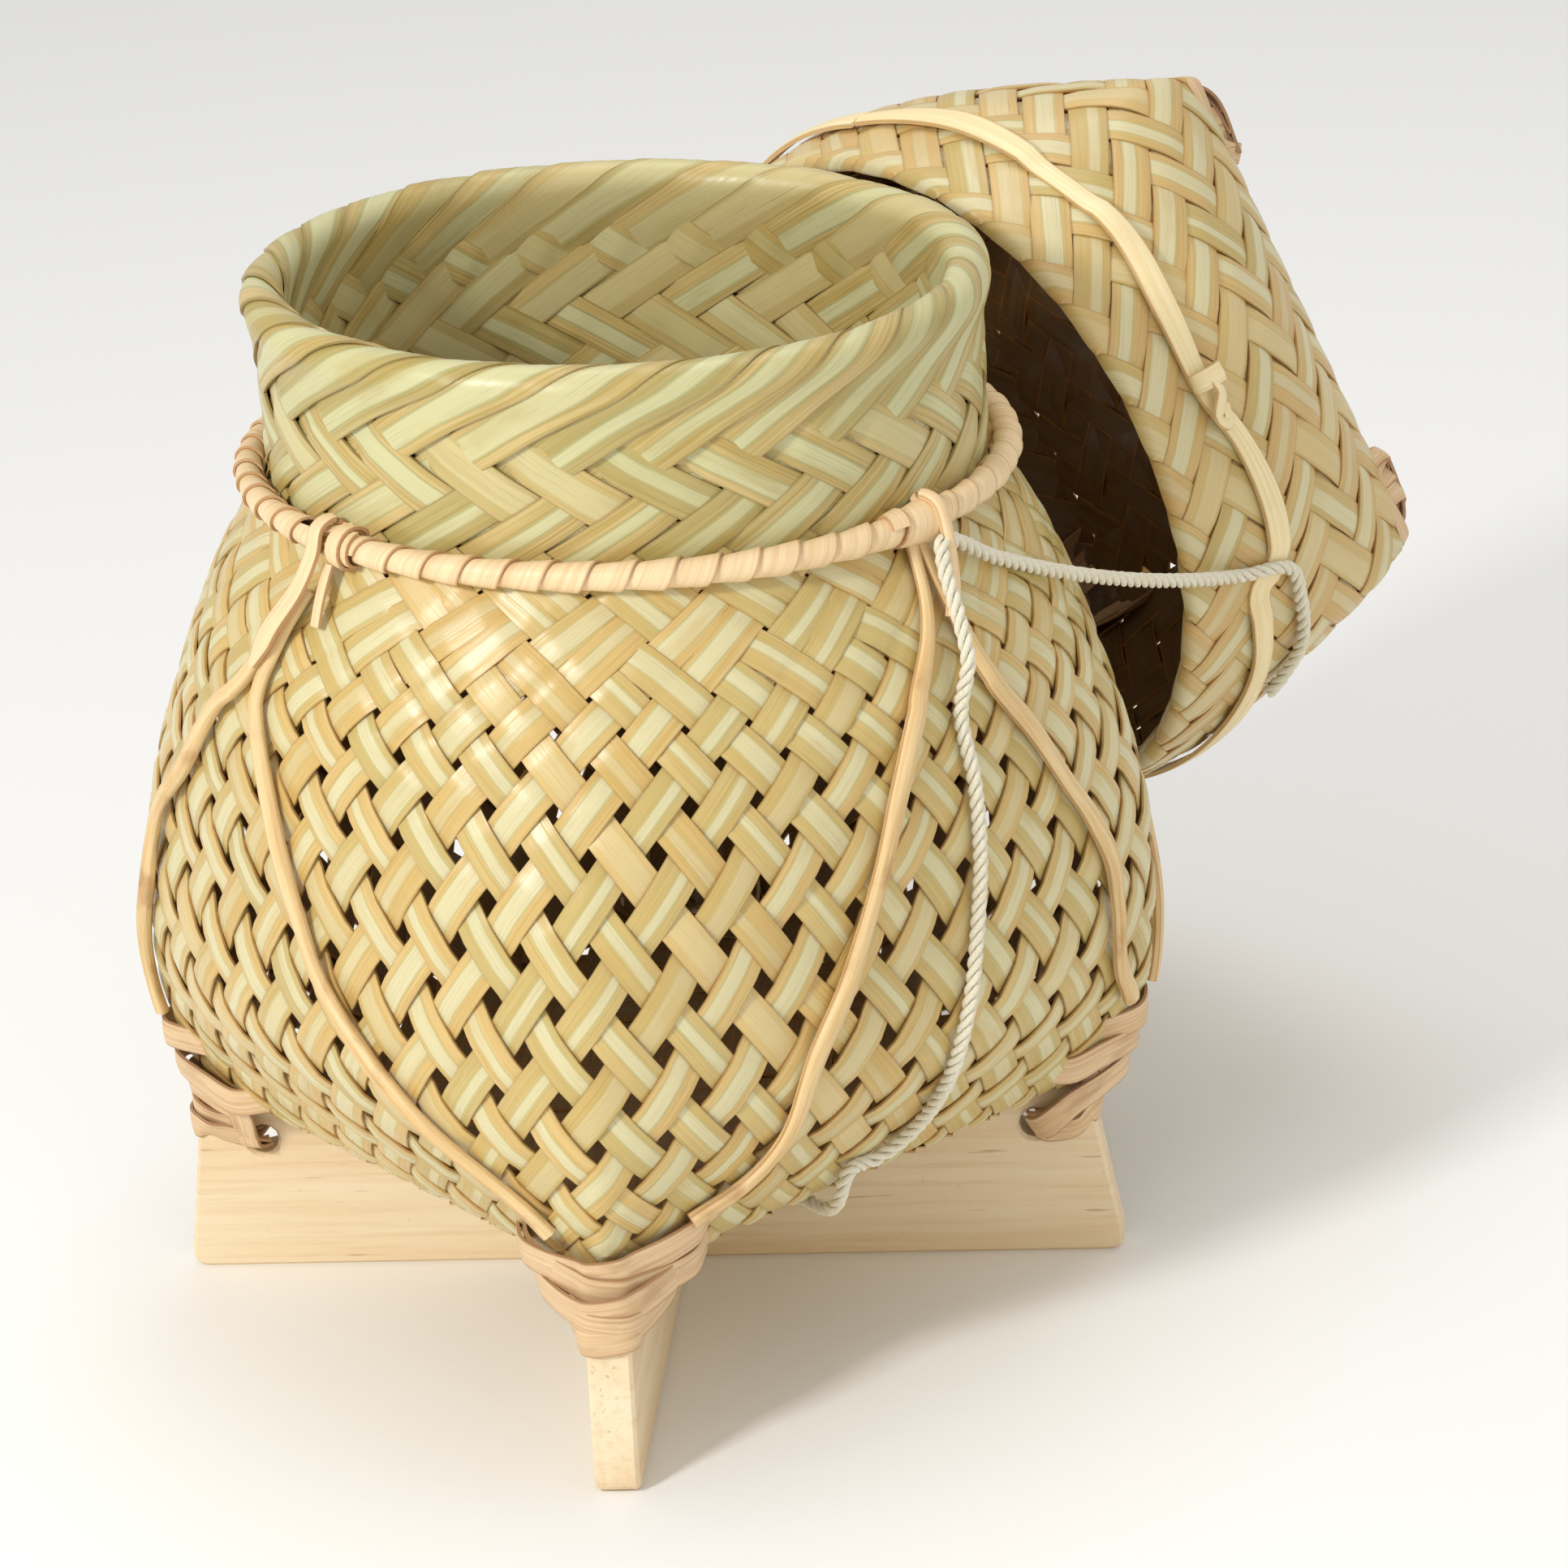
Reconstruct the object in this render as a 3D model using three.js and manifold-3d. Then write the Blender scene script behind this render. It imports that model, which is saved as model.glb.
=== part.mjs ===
// A plaited bamboo steaming basket for sticky rice, standing on a foot of two crossed boards, with its
// lid hung open beside the neck. Millimetres, +Z up, +X to the right, +Y to the back. The origin is on
// the ground, in the middle of the foot. The boards run along X and Y, and the basket's square floor has
// its corners over the ends of the boards.
import * as THREE from "three";
import { mergeVertices } from "three/addons/utils/BufferGeometryUtils.js";
import Module from "manifold-3d";

const wasm = await Module();
wasm.setup();

// ---------------------------------------------------------------- driving dimensions
const clearance = 0.3; // between neighbouring pieces
const wrapClearance = 0.5; // between a binding or a cane and the plaited wall that it lies on

// Foot: two boards in a cross lap. Reach is from the middle to the end of a board at the ground.
const footHeight = 30;
const boardThickness = 7;
const boardEdge = 0.6; // chamfer along a board's edges
const boardCorner = { radius: 3, rake: 0.2 }; // rounding of a board's lower corners, and their slant
const boardReach = { right: 76, back: 79, left: 80, front: 83 };
const boardInset = { right: 5, back: 4, left: 4, front: 3 }; // how much shorter each end is at its top
const holeRadius = 2.6; // lashing hole near each board end
const holeFromEnd = 14; // from a board's end to the hole's middle
const holeBelowTop = 6.7;

// Basket: corner reach is measured from the axis towards a corner.
const floorReach = 74;
const bellyReach = 82;
const neckRadius = 56.5;
const ringLevel = 141;
const rimLevel = 172.4;
const wall = 1.6;
const liningWall = 1.5;
const liningDepth = 46; // from the rim down to the lining's lower edge
const crestHeight = 4.4; // rounded fold along the rim
const footFlare = 0.6; // how much wider than the neck the wall is at the ring
const neckShift = 3; // how far the neck stands off to the right of the floor
const neckTilt = 0.028; // fall of the rim per millimetre to the right

// Cane ring round the foot of the neck, its ties, and the stays that hold the basket on its foot.
const ringCoreRadius = 1;
const ringWrapInner = 1.3;
const ringWrapOuter = 2.1;
const ringOpening = 7; // degrees left open between the two ends of the ring's wrapping
const tieRadius = 3.3;
const tieHalfAngle = 4; // degrees
const tieStrap = { width: 3, thickness: 1.2 };
const stayRadius = 1.4;
const lashingThickness = 1.4;
const lashingWidth = 10;
const lashingLength = 32;

// Carrying string.
const stringRadius = 1.25;
const stringKnotRadius = 3;
const stringKnotLevel = 26;
const stringSlack = 0.4; // between the string and the stays that it crosses, past the clearance
const stringSag = 3; // in the middle of the stretch between the tie and the lid

// Lid, in its own frame: origin in the middle of its mouth, +Z to its square top.
const lidMouthRadius = 60.3;
const lidTopReach = 58.6;
const lidSwell = 5.2; // how far the corners of the lid bulge past its mouth
const lidHeight = 57.5;
const lidWall = 1.5;
const lidPlace = new THREE.Vector3(44.9, 69.5, 108.6); // middle of the mouth
const lidHeading = 47.2; // degrees from +X, the way that the lid's top faces
const lidTip = 80.4; // degrees from upright
const lidSpin = 201.8; // degrees about its own axis
const hoopLevel = 15;
const hoopWidth = 4.6;
const hoopThickness = 1;
const hoopKnotAngle = 44; // degrees round the lid
const hoopKnotSize = { thickness: 1, length: 2.6, width: 3.6 }; // half of each
const lidLashingWidth = 11;
const lidLashingLength = 15;

// ---------------------------------------------------------------- helpers
const rad = THREE.MathUtils.degToRad;
const lerp = THREE.MathUtils.lerp;

// A smooth curve through the rows [x, y] of a table, level beyond its ends.
function along(table, x) {
  const last = table.length - 1;
  if (x <= table[0][0]) return table[0][1];
  if (x >= table[last][0]) return table[last][1];
  const i = table.findIndex((row) => row[0] > x) - 1;
  const slope = (a, b) => (table[b][1] - table[a][1]) / (table[b][0] - table[a][0]);
  const step = table[i + 1][0] - table[i][0];
  const from = i > 0 ? slope(i - 1, i + 1) : slope(0, 1);
  const to = i + 2 <= last ? slope(i, i + 2) : slope(last - 1, last);
  const t = (x - table[i][0]) / step;
  return (
    table[i][1] * (1 + 2 * t) * (1 - t) ** 2 +
    table[i + 1][1] * (3 - 2 * t) * t ** 2 +
    from * step * t * (1 - t) ** 2 -
    to * step * (1 - t) * t ** 2
  );
}

// Radius of a rounded square with its corners on the axes. Squareness 1 is a square, 2 a circle.
function squared(angle, squareness) {
  const c = Math.abs(Math.cos(angle)) ** squareness;
  const s = Math.abs(Math.sin(angle)) ** squareness;
  return 1 / (c + s) ** (1 / squareness);
}

function solidOf(geometry) {
  const bare = new THREE.BufferGeometry();
  bare.setAttribute("position", geometry.getAttribute("position"));
  if (geometry.index) bare.setIndex(geometry.index);
  const merged = mergeVertices(bare, 1e-4);
  return new wasm.Manifold(
    new wasm.Mesh({
      numProp: 3,
      vertProperties: new Float32Array(merged.attributes.position.array),
      triVerts: new Uint32Array(merged.index.array),
    }),
  );
}

function geometryOf(solid) {
  const mesh = solid.getMesh();
  const geometry = new THREE.BufferGeometry();
  const position = new THREE.BufferAttribute(mesh.vertProperties, mesh.numProp);
  geometry.setAttribute("position", position);
  geometry.setIndex(new THREE.BufferAttribute(mesh.triVerts, 1));
  geometry.computeVertexNormals();
  return geometry;
}

// Moves every vertex of a geometry by a function of its place.
function warped(geometry, move) {
  const position = geometry.getAttribute("position");
  const point = new THREE.Vector3();
  for (let i = 0; i < position.count; i++) {
    move(point.fromBufferAttribute(position, i));
    position.setXYZ(i, point.x, point.y, point.z);
  }
  geometry.computeVertexNormals();
  return geometry;
}

// A round bar along a list of points.
function rod(points, radius, steps) {
  const section = new THREE.Shape().absarc(0, 0, radius, 0, 2 * Math.PI);
  const path = new THREE.CatmullRomCurve3(points, false, "centripetal");
  return new THREE.ExtrudeGeometry(section, {
    steps,
    curveSegments: 4,
    bevelEnabled: false,
    extrudePath: path,
  });
}

// ---------------------------------------------------------------- the basket's shape
const floorLevel = footHeight + clearance;
const bodyHeight = ringLevel - floorLevel;
const levelAt = (share) => floorLevel + share * bodyHeight;

// Corner reach against the share of the height between the floor and the ring.
const reachTable = [
  [0, floorReach],
  [0.13, lerp(neckRadius, bellyReach, 0.92)],
  [0.285, bellyReach],
  [0.5, lerp(neckRadius, bellyReach, 0.92)],
  [0.7, lerp(neckRadius, bellyReach, 0.647)],
  [0.86, lerp(neckRadius, bellyReach, 0.36)],
  [1, neckRadius + footFlare],
  [1.12, neckRadius],
];
const squarenessTable = [
  [0, 0.96],
  [0.11, 1.1],
  [0.27, 1.4],
  [0.5, 1.5],
  [0.78, 2],
];
const shareOf = (level) => (level - floorLevel) / bodyHeight;
const reachAt = (level) => along(reachTable, shareOf(level));
const squarenessAt = (level) => along(squarenessTable, shareOf(level));

// The neck leans a little: the higher a point, the more it shifts and tilts.
function lean(point) {
  const share = THREE.MathUtils.clamp(shareOf(point.z), 0, 1);
  point.z -= neckTilt * share * point.x;
  point.x += neckShift * share;
  return point;
}

// A body turned round the basket's axis from a profile of [radius, level], squared towards the floor.
function turned(profile, segments) {
  const points = profile.map(([radius, level]) => new THREE.Vector2(radius, level));
  const lathe = new THREE.LatheGeometry(points, segments);
  lathe.rotateX(Math.PI / 2);
  return warped(lathe, (point) => {
    const factor = squared(Math.atan2(point.y, point.x), squarenessAt(point.z));
    point.x *= factor;
    point.y *= factor;
    lean(point);
  });
}

const spread = (from, to, steps) =>
  Array.from({ length: steps + 1 }, (_, i) => lerp(from, to, i / steps));
const basketSegments = 48;
// Levels of the rows of the wall, closer together where it turns hollow below the neck.
const wallLevels = [...spread(0, 0.82, 9), ...spread(0.86, 1.12, 7)].map(levelAt);

// The basket's outside as a solid lump, grown by an offset.
function basketBulk(offset) {
  const levels = [...wallLevels, rimLevel];
  const side = levels.map((level) => [reachAt(level) + offset, level]);
  side[0][1] -= offset;
  const profile = [[0, side[0][1]], ...side, [0, rimLevel]];
  return solidOf(turned(profile, basketSegments));
}

// A point on the outside of the basket at an angle and level, lifted off along the outward normal.
function onBasket(degrees, level, lift = 0) {
  const place = (angle, height) => {
    const radius = reachAt(height) * squared(angle, squarenessAt(height));
    return lean(new THREE.Vector3(radius * Math.cos(angle), radius * Math.sin(angle), height));
  };
  const angle = rad(degrees);
  const small = 0.02;
  const point = place(angle, level);
  const round = place(angle + small, level).sub(place(angle - small, level));
  const up = place(angle, level + small).sub(place(angle, level - small));
  return point.addScaledVector(round.cross(up).normalize(), lift);
}

// Points of a route over the basket, from rows of [degrees, share of the height, lift].
function basketRoute(rows, count) {
  const path = new THREE.CatmullRomCurve3(
    rows.map(([degrees, share, lift]) => new THREE.Vector3(degrees, share * 100, lift)),
    false,
    "centripetal",
  );
  return path.getPoints(count).map((row) => onBasket(row.x, levelAt(row.y / 100), row.z));
}

// ---------------------------------------------------------------- plaited walls
const liningLevels = spread(rimLevel - liningDepth, rimLevel, 12);
const liningOuter = Math.min(...liningLevels.map(reachAt)) - wall - clearance;
const liningInner = liningOuter - liningWall;
const bodyTop = rimLevel - crestHeight;

function basketBody() {
  const up = [...wallLevels, bodyTop].map((level) => [reachAt(level), level]);
  const down = up.map(([radius, level]) => [radius - wall, Math.max(level, floorLevel + wall)]);
  down.reverse();
  const profile = [[0, floorLevel], ...up, ...down, [0, floorLevel + wall]];
  return turned(profile, basketSegments);
}

// The turned-in ends of the strips: a crest over the top of the wall, and a lining inside the neck.
function neckLining() {
  const bottom = rimLevel - liningDepth;
  const seat = bodyTop + clearance;
  const middle = (liningInner + neckRadius) / 2;
  const half = (neckRadius - liningInner) / 2;
  const crest = spread(0, Math.PI, 5).map((angle) => [
    middle + half * Math.cos(angle),
    seat + (rimLevel - seat) * Math.sin(angle),
  ]);
  const levels = [...spread(bottom, ringLevel, 2), seat];
  const outside = levels.map((level) => [liningOuter, level]);
  const inside = levels.map((level) => [liningInner, level]).reverse();
  const profile = [...outside, ...crest, ...inside, outside[0]];
  return turned(profile, basketSegments);
}

// ---------------------------------------------------------------- foot
// Side view of a board between two ends, with its lap notch and its lashing holes.
function boardOutline(ends, grow = 0, open = "none") {
  const [near, far] = ends;
  const high = footHeight + grow;
  const { radius: corner, rake } = boardCorner;
  const nearFoot = -boardReach[near] - grow;
  const farFoot = boardReach[far] + grow;
  const notch = boardThickness / 2 + clearance;
  const lap = footHeight / 2;
  const shape = new THREE.Shape();
  shape.moveTo(nearFoot + corner, -grow);
  if (open === "below") {
    shape.lineTo(-notch, -grow);
    shape.lineTo(-notch, lap + clearance);
    shape.lineTo(notch, lap + clearance);
    shape.lineTo(notch, -grow);
  }
  shape.lineTo(farFoot - corner, -grow);
  shape.quadraticCurveTo(farFoot, -grow, farFoot - rake, corner - grow);
  shape.lineTo(farFoot - boardInset[far], high);
  if (open === "above") {
    shape.lineTo(notch, high);
    shape.lineTo(notch, lap - clearance);
    shape.lineTo(-notch, lap - clearance);
    shape.lineTo(-notch, high);
  }
  shape.lineTo(nearFoot + boardInset[near], high);
  shape.lineTo(nearFoot + rake, corner - grow);
  shape.quadraticCurveTo(nearFoot, -grow, nearFoot + corner, -grow);
  return shape;
}

const holeLevel = footHeight - holeBelowTop;

// Stands a board's side view up along X and centres its thickness.
function board(outline, grow, edge) {
  const depth = boardThickness + 2 * grow - 2 * edge;
  const geometry = new THREE.ExtrudeGeometry(outline, {
    depth,
    curveSegments: 6,
    bevelEnabled: edge > 0,
    bevelThickness: edge,
    bevelSize: edge,
    bevelOffset: -edge,
    bevelSegments: 1,
  });
  geometry.translate(0, 0, -depth / 2);
  geometry.rotateX(Math.PI / 2);
  return geometry;
}

function footBoard(ends, open) {
  const outline = boardOutline(ends, 0, open);
  const places = [holeFromEnd - boardReach[ends[0]], boardReach[ends[1]] - holeFromEnd];
  for (const place of places)
    outline.holes.push(new THREE.Path().absarc(place, holeLevel, holeRadius, 0, 2 * Math.PI, true));
  return board(outline, 0, boardEdge);
}

const crossBoardTurn = Math.PI / 2;
const boardBulk = (ends, grow) => board(boardOutline(ends, grow), grow, 0);

// ---------------------------------------------------------------- corner lashings
const corners = [
  { name: "right", angle: 0, ends: ["left", "right"], turn: 0 },
  { name: "back", angle: 90, ends: ["front", "back"], turn: crossBoardTurn },
  { name: "left", angle: 180, ends: ["left", "right"], turn: 0 },
  { name: "front", angle: 270, ends: ["front", "back"], turn: crossBoardTurn },
];

// A binding of split cane round a board's end and the basket's corner, through the board's hole.
function cornerLashing({ name, angle, ends, turn }) {
  const outside = wrapClearance + lashingThickness;
  const grown = (grow) => solidOf(boardBulk(ends, grow).rotateZ(turn));
  const sleeve = basketBulk(outside).add(grown(clearance + lashingThickness));
  const inside = basketBulk(wrapClearance).add(grown(clearance));
  const hole = boardReach[name] - holeFromEnd;
  const tip = new THREE.Vector2(reachAt(levelAt(0.05)) + outside, levelAt(0.05));
  const slant = Math.atan2(tip.y - holeLevel, tip.x - hole);
  const band = new THREE.BoxGeometry(lashingLength, 4 * lashingWidth, lashingWidth);
  const away = lashingLength / 2 - holeRadius;
  band.translate(away, 0, 0).rotateY(-slant).translate(hole, 0, holeLevel).rotateZ(rad(angle));
  const barLength = boardThickness + 2 * clearance + lashingThickness;
  const bar = new THREE.CylinderGeometry(holeRadius / 2, holeRadius / 2, barLength, 10);
  bar.translate(hole, 0, holeLevel).rotateZ(rad(angle));
  return geometryOf(sleeve.intersect(solidOf(band)).subtract(inside).add(solidOf(bar)));
}

// ---------------------------------------------------------------- neck ring and its ties
// The ring rests against the wall: its middle is just far enough out for the wrapping to clear it.
const ringStandOff = ringWrapOuter + clearance;
const ringRadius = Math.max(
  ...spread(-1, 1, 24).map(
    (t) => reachAt(ringLevel + t * ringStandOff) + ringStandOff * Math.sqrt(1 - t * t),
  ),
);
const tieAngles = { front_right: -38, back_right: 47, back_left: 137, front_left: -132.5 };

// Points along the ring's centre line.
function ringArc(fromDegrees, toDegrees, steps) {
  return spread(fromDegrees, toDegrees, steps).map((degrees) => {
    const angle = rad(degrees);
    return lean(
      new THREE.Vector3(ringRadius * Math.cos(angle), ringRadius * Math.sin(angle), ringLevel),
    );
  });
}

function ringCore() {
  const torus = new THREE.TorusGeometry(ringRadius, ringCoreRadius, 6, 54);
  torus.translate(0, 0, ringLevel);
  return warped(torus, lean);
}

// A strip of cane wound into a tube round the core, open at the front left tie.
function ringWrap() {
  const section = new THREE.Shape().absarc(0, 0, ringWrapOuter, 0, 2 * Math.PI);
  section.holes.push(new THREE.Path().absarc(0, 0, ringWrapInner, 0, 2 * Math.PI, true));
  const start = tieAngles.front_left + ringOpening / 2;
  const points = ringArc(start, start + 360 - ringOpening, 48);
  return new THREE.ExtrudeGeometry(section, {
    steps: 54,
    curveSegments: 4,
    bevelEnabled: false,
    extrudePath: new THREE.CatmullRomCurve3(points, false, "centripetal"),
  });
}

// How far down the shoulder each tie hangs, as a share of the body's height.
const strapEnds = { front_right: 0.955, back_right: 0.93, back_left: 0.93, front_left: 0.93 };

// A knot of split cane round the ring, with a strap that hangs down to the stays.
function ringTie(name) {
  const degrees = tieAngles[name];
  const arc = (reach, radius) =>
    solidOf(rod(ringArc(degrees - reach, degrees + reach, 6), radius, 8));
  const bore = arc(tieHalfAngle + 2, ringWrapOuter + clearance);
  const middle = onBasket(degrees, levelAt(strapEnds[name]), wrapClearance);
  const top = onBasket(degrees, ringLevel - ringWrapOuter, wrapClearance);
  const strapLength = top.distanceTo(middle) + tieRadius;
  const strap = new THREE.BoxGeometry(tieStrap.thickness, tieStrap.width, strapLength);
  strap.translate(tieStrap.thickness / 2, 0, strapLength / 2);
  const fall = Math.atan2(Math.hypot(top.x - middle.x, top.y - middle.y), top.z - middle.z);
  strap.rotateY(-fall).rotateZ(rad(degrees)).translate(middle.x, middle.y, middle.z);
  const knot = arc(tieHalfAngle, tieRadius).add(solidOf(strap));
  return geometryOf(knot.subtract(bore).subtract(basketBulk(wrapClearance)));
}

// ---------------------------------------------------------------- stays
// Each tie holds the tops of two canes, which run down to the lashings on either side of it.
// Rows are [degrees round the basket, share of the height], from the top down.
const frontLeftToLeft = [
  [-139.6, 0.85], [-143.2, 0.79], [-147.5, 0.75], [-157.5, 0.62], [-167, 0.515],
  [-172, 0.37], [-175.5, 0.285], [-178, 0.19], [-178.6, 0.15],
];
const frontLeftToFront = [
  [-136.6, 0.85], [-138.2, 0.79], [-136, 0.7], [-134.5, 0.645], [-131.5, 0.53],
  [-127.5, 0.42], [-119.5, 0.325], [-110.5, 0.235], [-103, 0.17], [-99, 0.14],
];
const frontRightToFront = [
  [-41.5, 0.9], [-43.5, 0.855], [-47.5, 0.785], [-51.5, 0.685], [-55.5, 0.555],
  [-60, 0.425], [-65, 0.325], [-69, 0.2], [-72.5, 0.14],
];
const frontRightToRight = [
  [-37.4, 0.9], [-36.8, 0.855], [-35, 0.785], [-28.5, 0.685], [-23, 0.59], [-18, 0.51],
  [-14.5, 0.43], [-13.8, 0.355], [-12.5, 0.26], [-7.5, 0.19], [-6, 0.17],
];
// The back is laid out as the front is, turned half round.
const turnedRound = (rows) => rows.map(([degrees, share]) => [degrees + 180, share]);
const stays = {
  front_left_stay_left: frontLeftToLeft,
  front_left_stay_front: frontLeftToFront,
  front_right_stay_front: frontRightToFront,
  front_right_stay_right: frontRightToRight,
  back_right_stay_right: turnedRound(frontLeftToLeft),
  back_right_stay_back: turnedRound(frontLeftToFront),
  back_left_stay_back: turnedRound(frontRightToFront),
  back_left_stay_left: turnedRound(frontRightToRight),
};

function stay(rows) {
  const lifted = rows.map(([degrees, share]) => [degrees, share, wrapClearance + stayRadius]);
  return rod(basketRoute(lifted, 30), stayRadius, 22);
}

// ---------------------------------------------------------------- lid
const lidReachTable = [
  [0, lidMouthRadius],
  [0.35, lidMouthRadius + 0.75 * lidSwell],
  [0.7, lidMouthRadius + lidSwell],
  [0.9, lerp(lidTopReach, lidMouthRadius + lidSwell, 0.57)],
  [1, lidTopReach],
];
const lidSquarenessTable = [
  [0, 2],
  [0.35, 1.75],
  [0.7, 1.3],
  [1, 0.97],
];
const lidReachAt = (level) => along(lidReachTable, level / lidHeight);
const lidSquarenessAt = (level) => along(lidSquarenessTable, level / lidHeight);
const lidSegments = 48;
const lidRows = 8;

function turnedLid(profile) {
  const points = profile.map(([radius, level]) => new THREE.Vector2(radius, level));
  const lathe = new THREE.LatheGeometry(points, lidSegments);
  lathe.rotateX(Math.PI / 2);
  return warped(lathe, (point) => {
    const factor = squared(Math.atan2(point.y, point.x), lidSquarenessAt(point.z));
    point.x *= factor;
    point.y *= factor;
  });
}

function lidBody() {
  const up = spread(0, lidHeight, lidRows).map((level) => [lidReachAt(level), level]);
  const down = spread(0, lidHeight - lidWall, lidRows).map((level) => [
    lidReachAt(level) - lidWall,
    level,
  ]);
  down.reverse();
  return turnedLid([[0, lidHeight - lidWall], ...down, ...up, [0, lidHeight]]);
}

// The lid's outside as a solid lump, grown by an offset.
function lidBulk(offset) {
  const side = spread(0, lidHeight, lidRows).map((level) => [lidReachAt(level) + offset, level]);
  side[0][1] -= offset;
  side[side.length - 1][1] += offset;
  return solidOf(turnedLid([[0, -offset], ...side, [0, lidHeight + offset]]));
}

// A point on the outside of the lid, in the lid's frame.
function onLid(degrees, level, lift = 0) {
  const angle = rad(degrees);
  const place = (turn, height) => {
    const radius = lidReachAt(height) * squared(turn, lidSquarenessAt(height));
    return new THREE.Vector3(radius * Math.cos(turn), radius * Math.sin(turn), height);
  };
  const small = 0.02;
  const round = place(angle + small, level).sub(place(angle - small, level));
  const up = place(angle, level + small).sub(place(angle, level - small));
  return place(angle, level).addScaledVector(round.cross(up).normalize(), lift);
}

// A flat hoop of cane round the lid's side.
function lidHoop() {
  const inner = lidBulk(wrapClearance);
  const outer = lidBulk(wrapClearance + hoopThickness);
  const slab = new THREE.CylinderGeometry(2 * lidMouthRadius, 2 * lidMouthRadius, hoopWidth, 16);
  slab.rotateX(Math.PI / 2).translate(0, 0, hoopLevel);
  return geometryOf(outer.intersect(solidOf(slab)).subtract(inner));
}

// A small knot that holds the overlapped ends of the hoop together.
function hoopKnot() {
  const lift = wrapClearance + hoopThickness + clearance;
  const { thickness, length, width } = hoopKnotSize;
  const place = onLid(hoopKnotAngle, hoopLevel, lift + thickness);
  const knot = new THREE.SphereGeometry(1, 12, 8).scale(thickness, length, width);
  knot.rotateZ(rad(hoopKnotAngle)).translate(place.x, place.y, place.z);
  return geometryOf(solidOf(knot).subtract(lidBulk(lift)));
}

// A patch of binding over one corner of the lid's top.
function lidLashing(degrees) {
  const outside = lidBulk(wrapClearance + lashingThickness);
  const inside = lidBulk(wrapClearance);
  const block = new THREE.BoxGeometry(lidLashingLength, 2 * lidLashingWidth, lidLashingLength);
  block.translate(lidTopReach, 0, lidHeight).rotateZ(rad(degrees));
  return geometryOf(outside.intersect(solidOf(block)).subtract(inside));
}

const lidTurn = new THREE.Group();
lidTurn.rotation.z = rad(lidSpin);
const lidLean = new THREE.Group();
lidLean.rotation.y = rad(lidTip);
lidLean.add(lidTurn);
const lid = new THREE.Group();
lid.rotation.z = rad(lidHeading);
lid.position.copy(lidPlace);
lid.add(lidLean);
lid.updateMatrixWorld(true);

// ---------------------------------------------------------------- carrying string
// From a knot where the boards cross, out under the floor, up the wall and over the front right tie.
const stringLift = wrapClearance + stringRadius;
const stringOverStays = stringLift + 2 * stayRadius + clearance + stringSlack;
const stringUnderFloor = [
  [10.2, -11, 26.4], [14, -17.5, 26.6], [20, -27, 27.2], [26.5, -37, 27.4], [32.2, -44.7, 29.4],
];
const stringUpWall = [
  [-53, 0.07], [-48, 0.068], [-44, 0.085], [-42, 0.13], [-42.6, 0.2], [-42.9, 0.26],
  [-41.7, 0.34], [-40.2, 0.43], [-39.6, 0.54], [-40.2, 0.655], [-41.3, 0.755],
];
const stringOverTie = [[-40.6, 0.815], [-39.6, 0.87], [-38.4, 0.925]];
// On the lid, as [degrees, level] in the lid's frame: past the hoop and back down to it.
const stringOnLid = [
  [77, 19.6], [82.5, 21.4], [91, 22.6], [98.5, 20.8], [101.5, 19.4],
];
const stringMeetsLid = [74, 9.6];

function stringLower() {
  const onWall = stringUpWall.map(([degrees, share]) => [degrees, share, stringLift]);
  const overTie = stringOverTie.map(([degrees, share]) => [degrees, share, stringOverStays]);
  const points = stringUnderFloor.map((place) => new THREE.Vector3(...place));
  return rod(points.concat(basketRoute([...onWall, ...overTie], 26)), stringRadius, 54);
}

const tieTurn = onBasket(-36.6, levelAt(0.955), stringOverStays);
const lidEnd = onLid(...stringMeetsLid, stringLift).applyMatrix4(lidTurn.matrixWorld);

// The free stretch from the tie to the lid, with a little slack.
function stringSpan() {
  const stretch = lidEnd.clone().sub(tieTurn);
  const points = spread(0, 1, 10).map((share) => {
    const point = tieTurn.clone().addScaledVector(stretch, share);
    point.z -= 4 * stringSag * share * (1 - share);
    return point;
  });
  return rod(points, stringRadius, 20);
}

function stringOnLidPiece() {
  const points = stringOnLid.map(([degrees, level]) => onLid(degrees, level, stringLift));
  return rod(points, stringRadius, 14);
}

function stringKnot() {
  const knot = new THREE.SphereGeometry(stringKnotRadius, 12, 8);
  const corner = boardThickness / 2 + clearance + stringKnotRadius;
  return knot.translate(corner, -corner, stringKnotLevel);
}

// ---------------------------------------------------------------- materials and assembly
const finish = (color, roughness) =>
  new THREE.MeshStandardMaterial({ color, roughness, metalness: 0, side: THREE.DoubleSide });
const plaited = finish(0xc9bd85, 0.45);
const plaitedNeck = finish(0xb9b67c, 0.45);
const plaitedLid = finish(0xcbb684, 0.5);
const boardWood = finish(0xe6cfa0, 0.7);
const cane = finish(0xe3c193, 0.5);
const caneDark = finish(0xc99f73, 0.6);
const cotton = finish(0xe8e2cf, 0.9);

const basket = new THREE.Group();
function piece(group, name, geometry, material) {
  const mesh = new THREE.Mesh(geometry, material);
  mesh.name = name;
  group.add(mesh);
}

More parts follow.
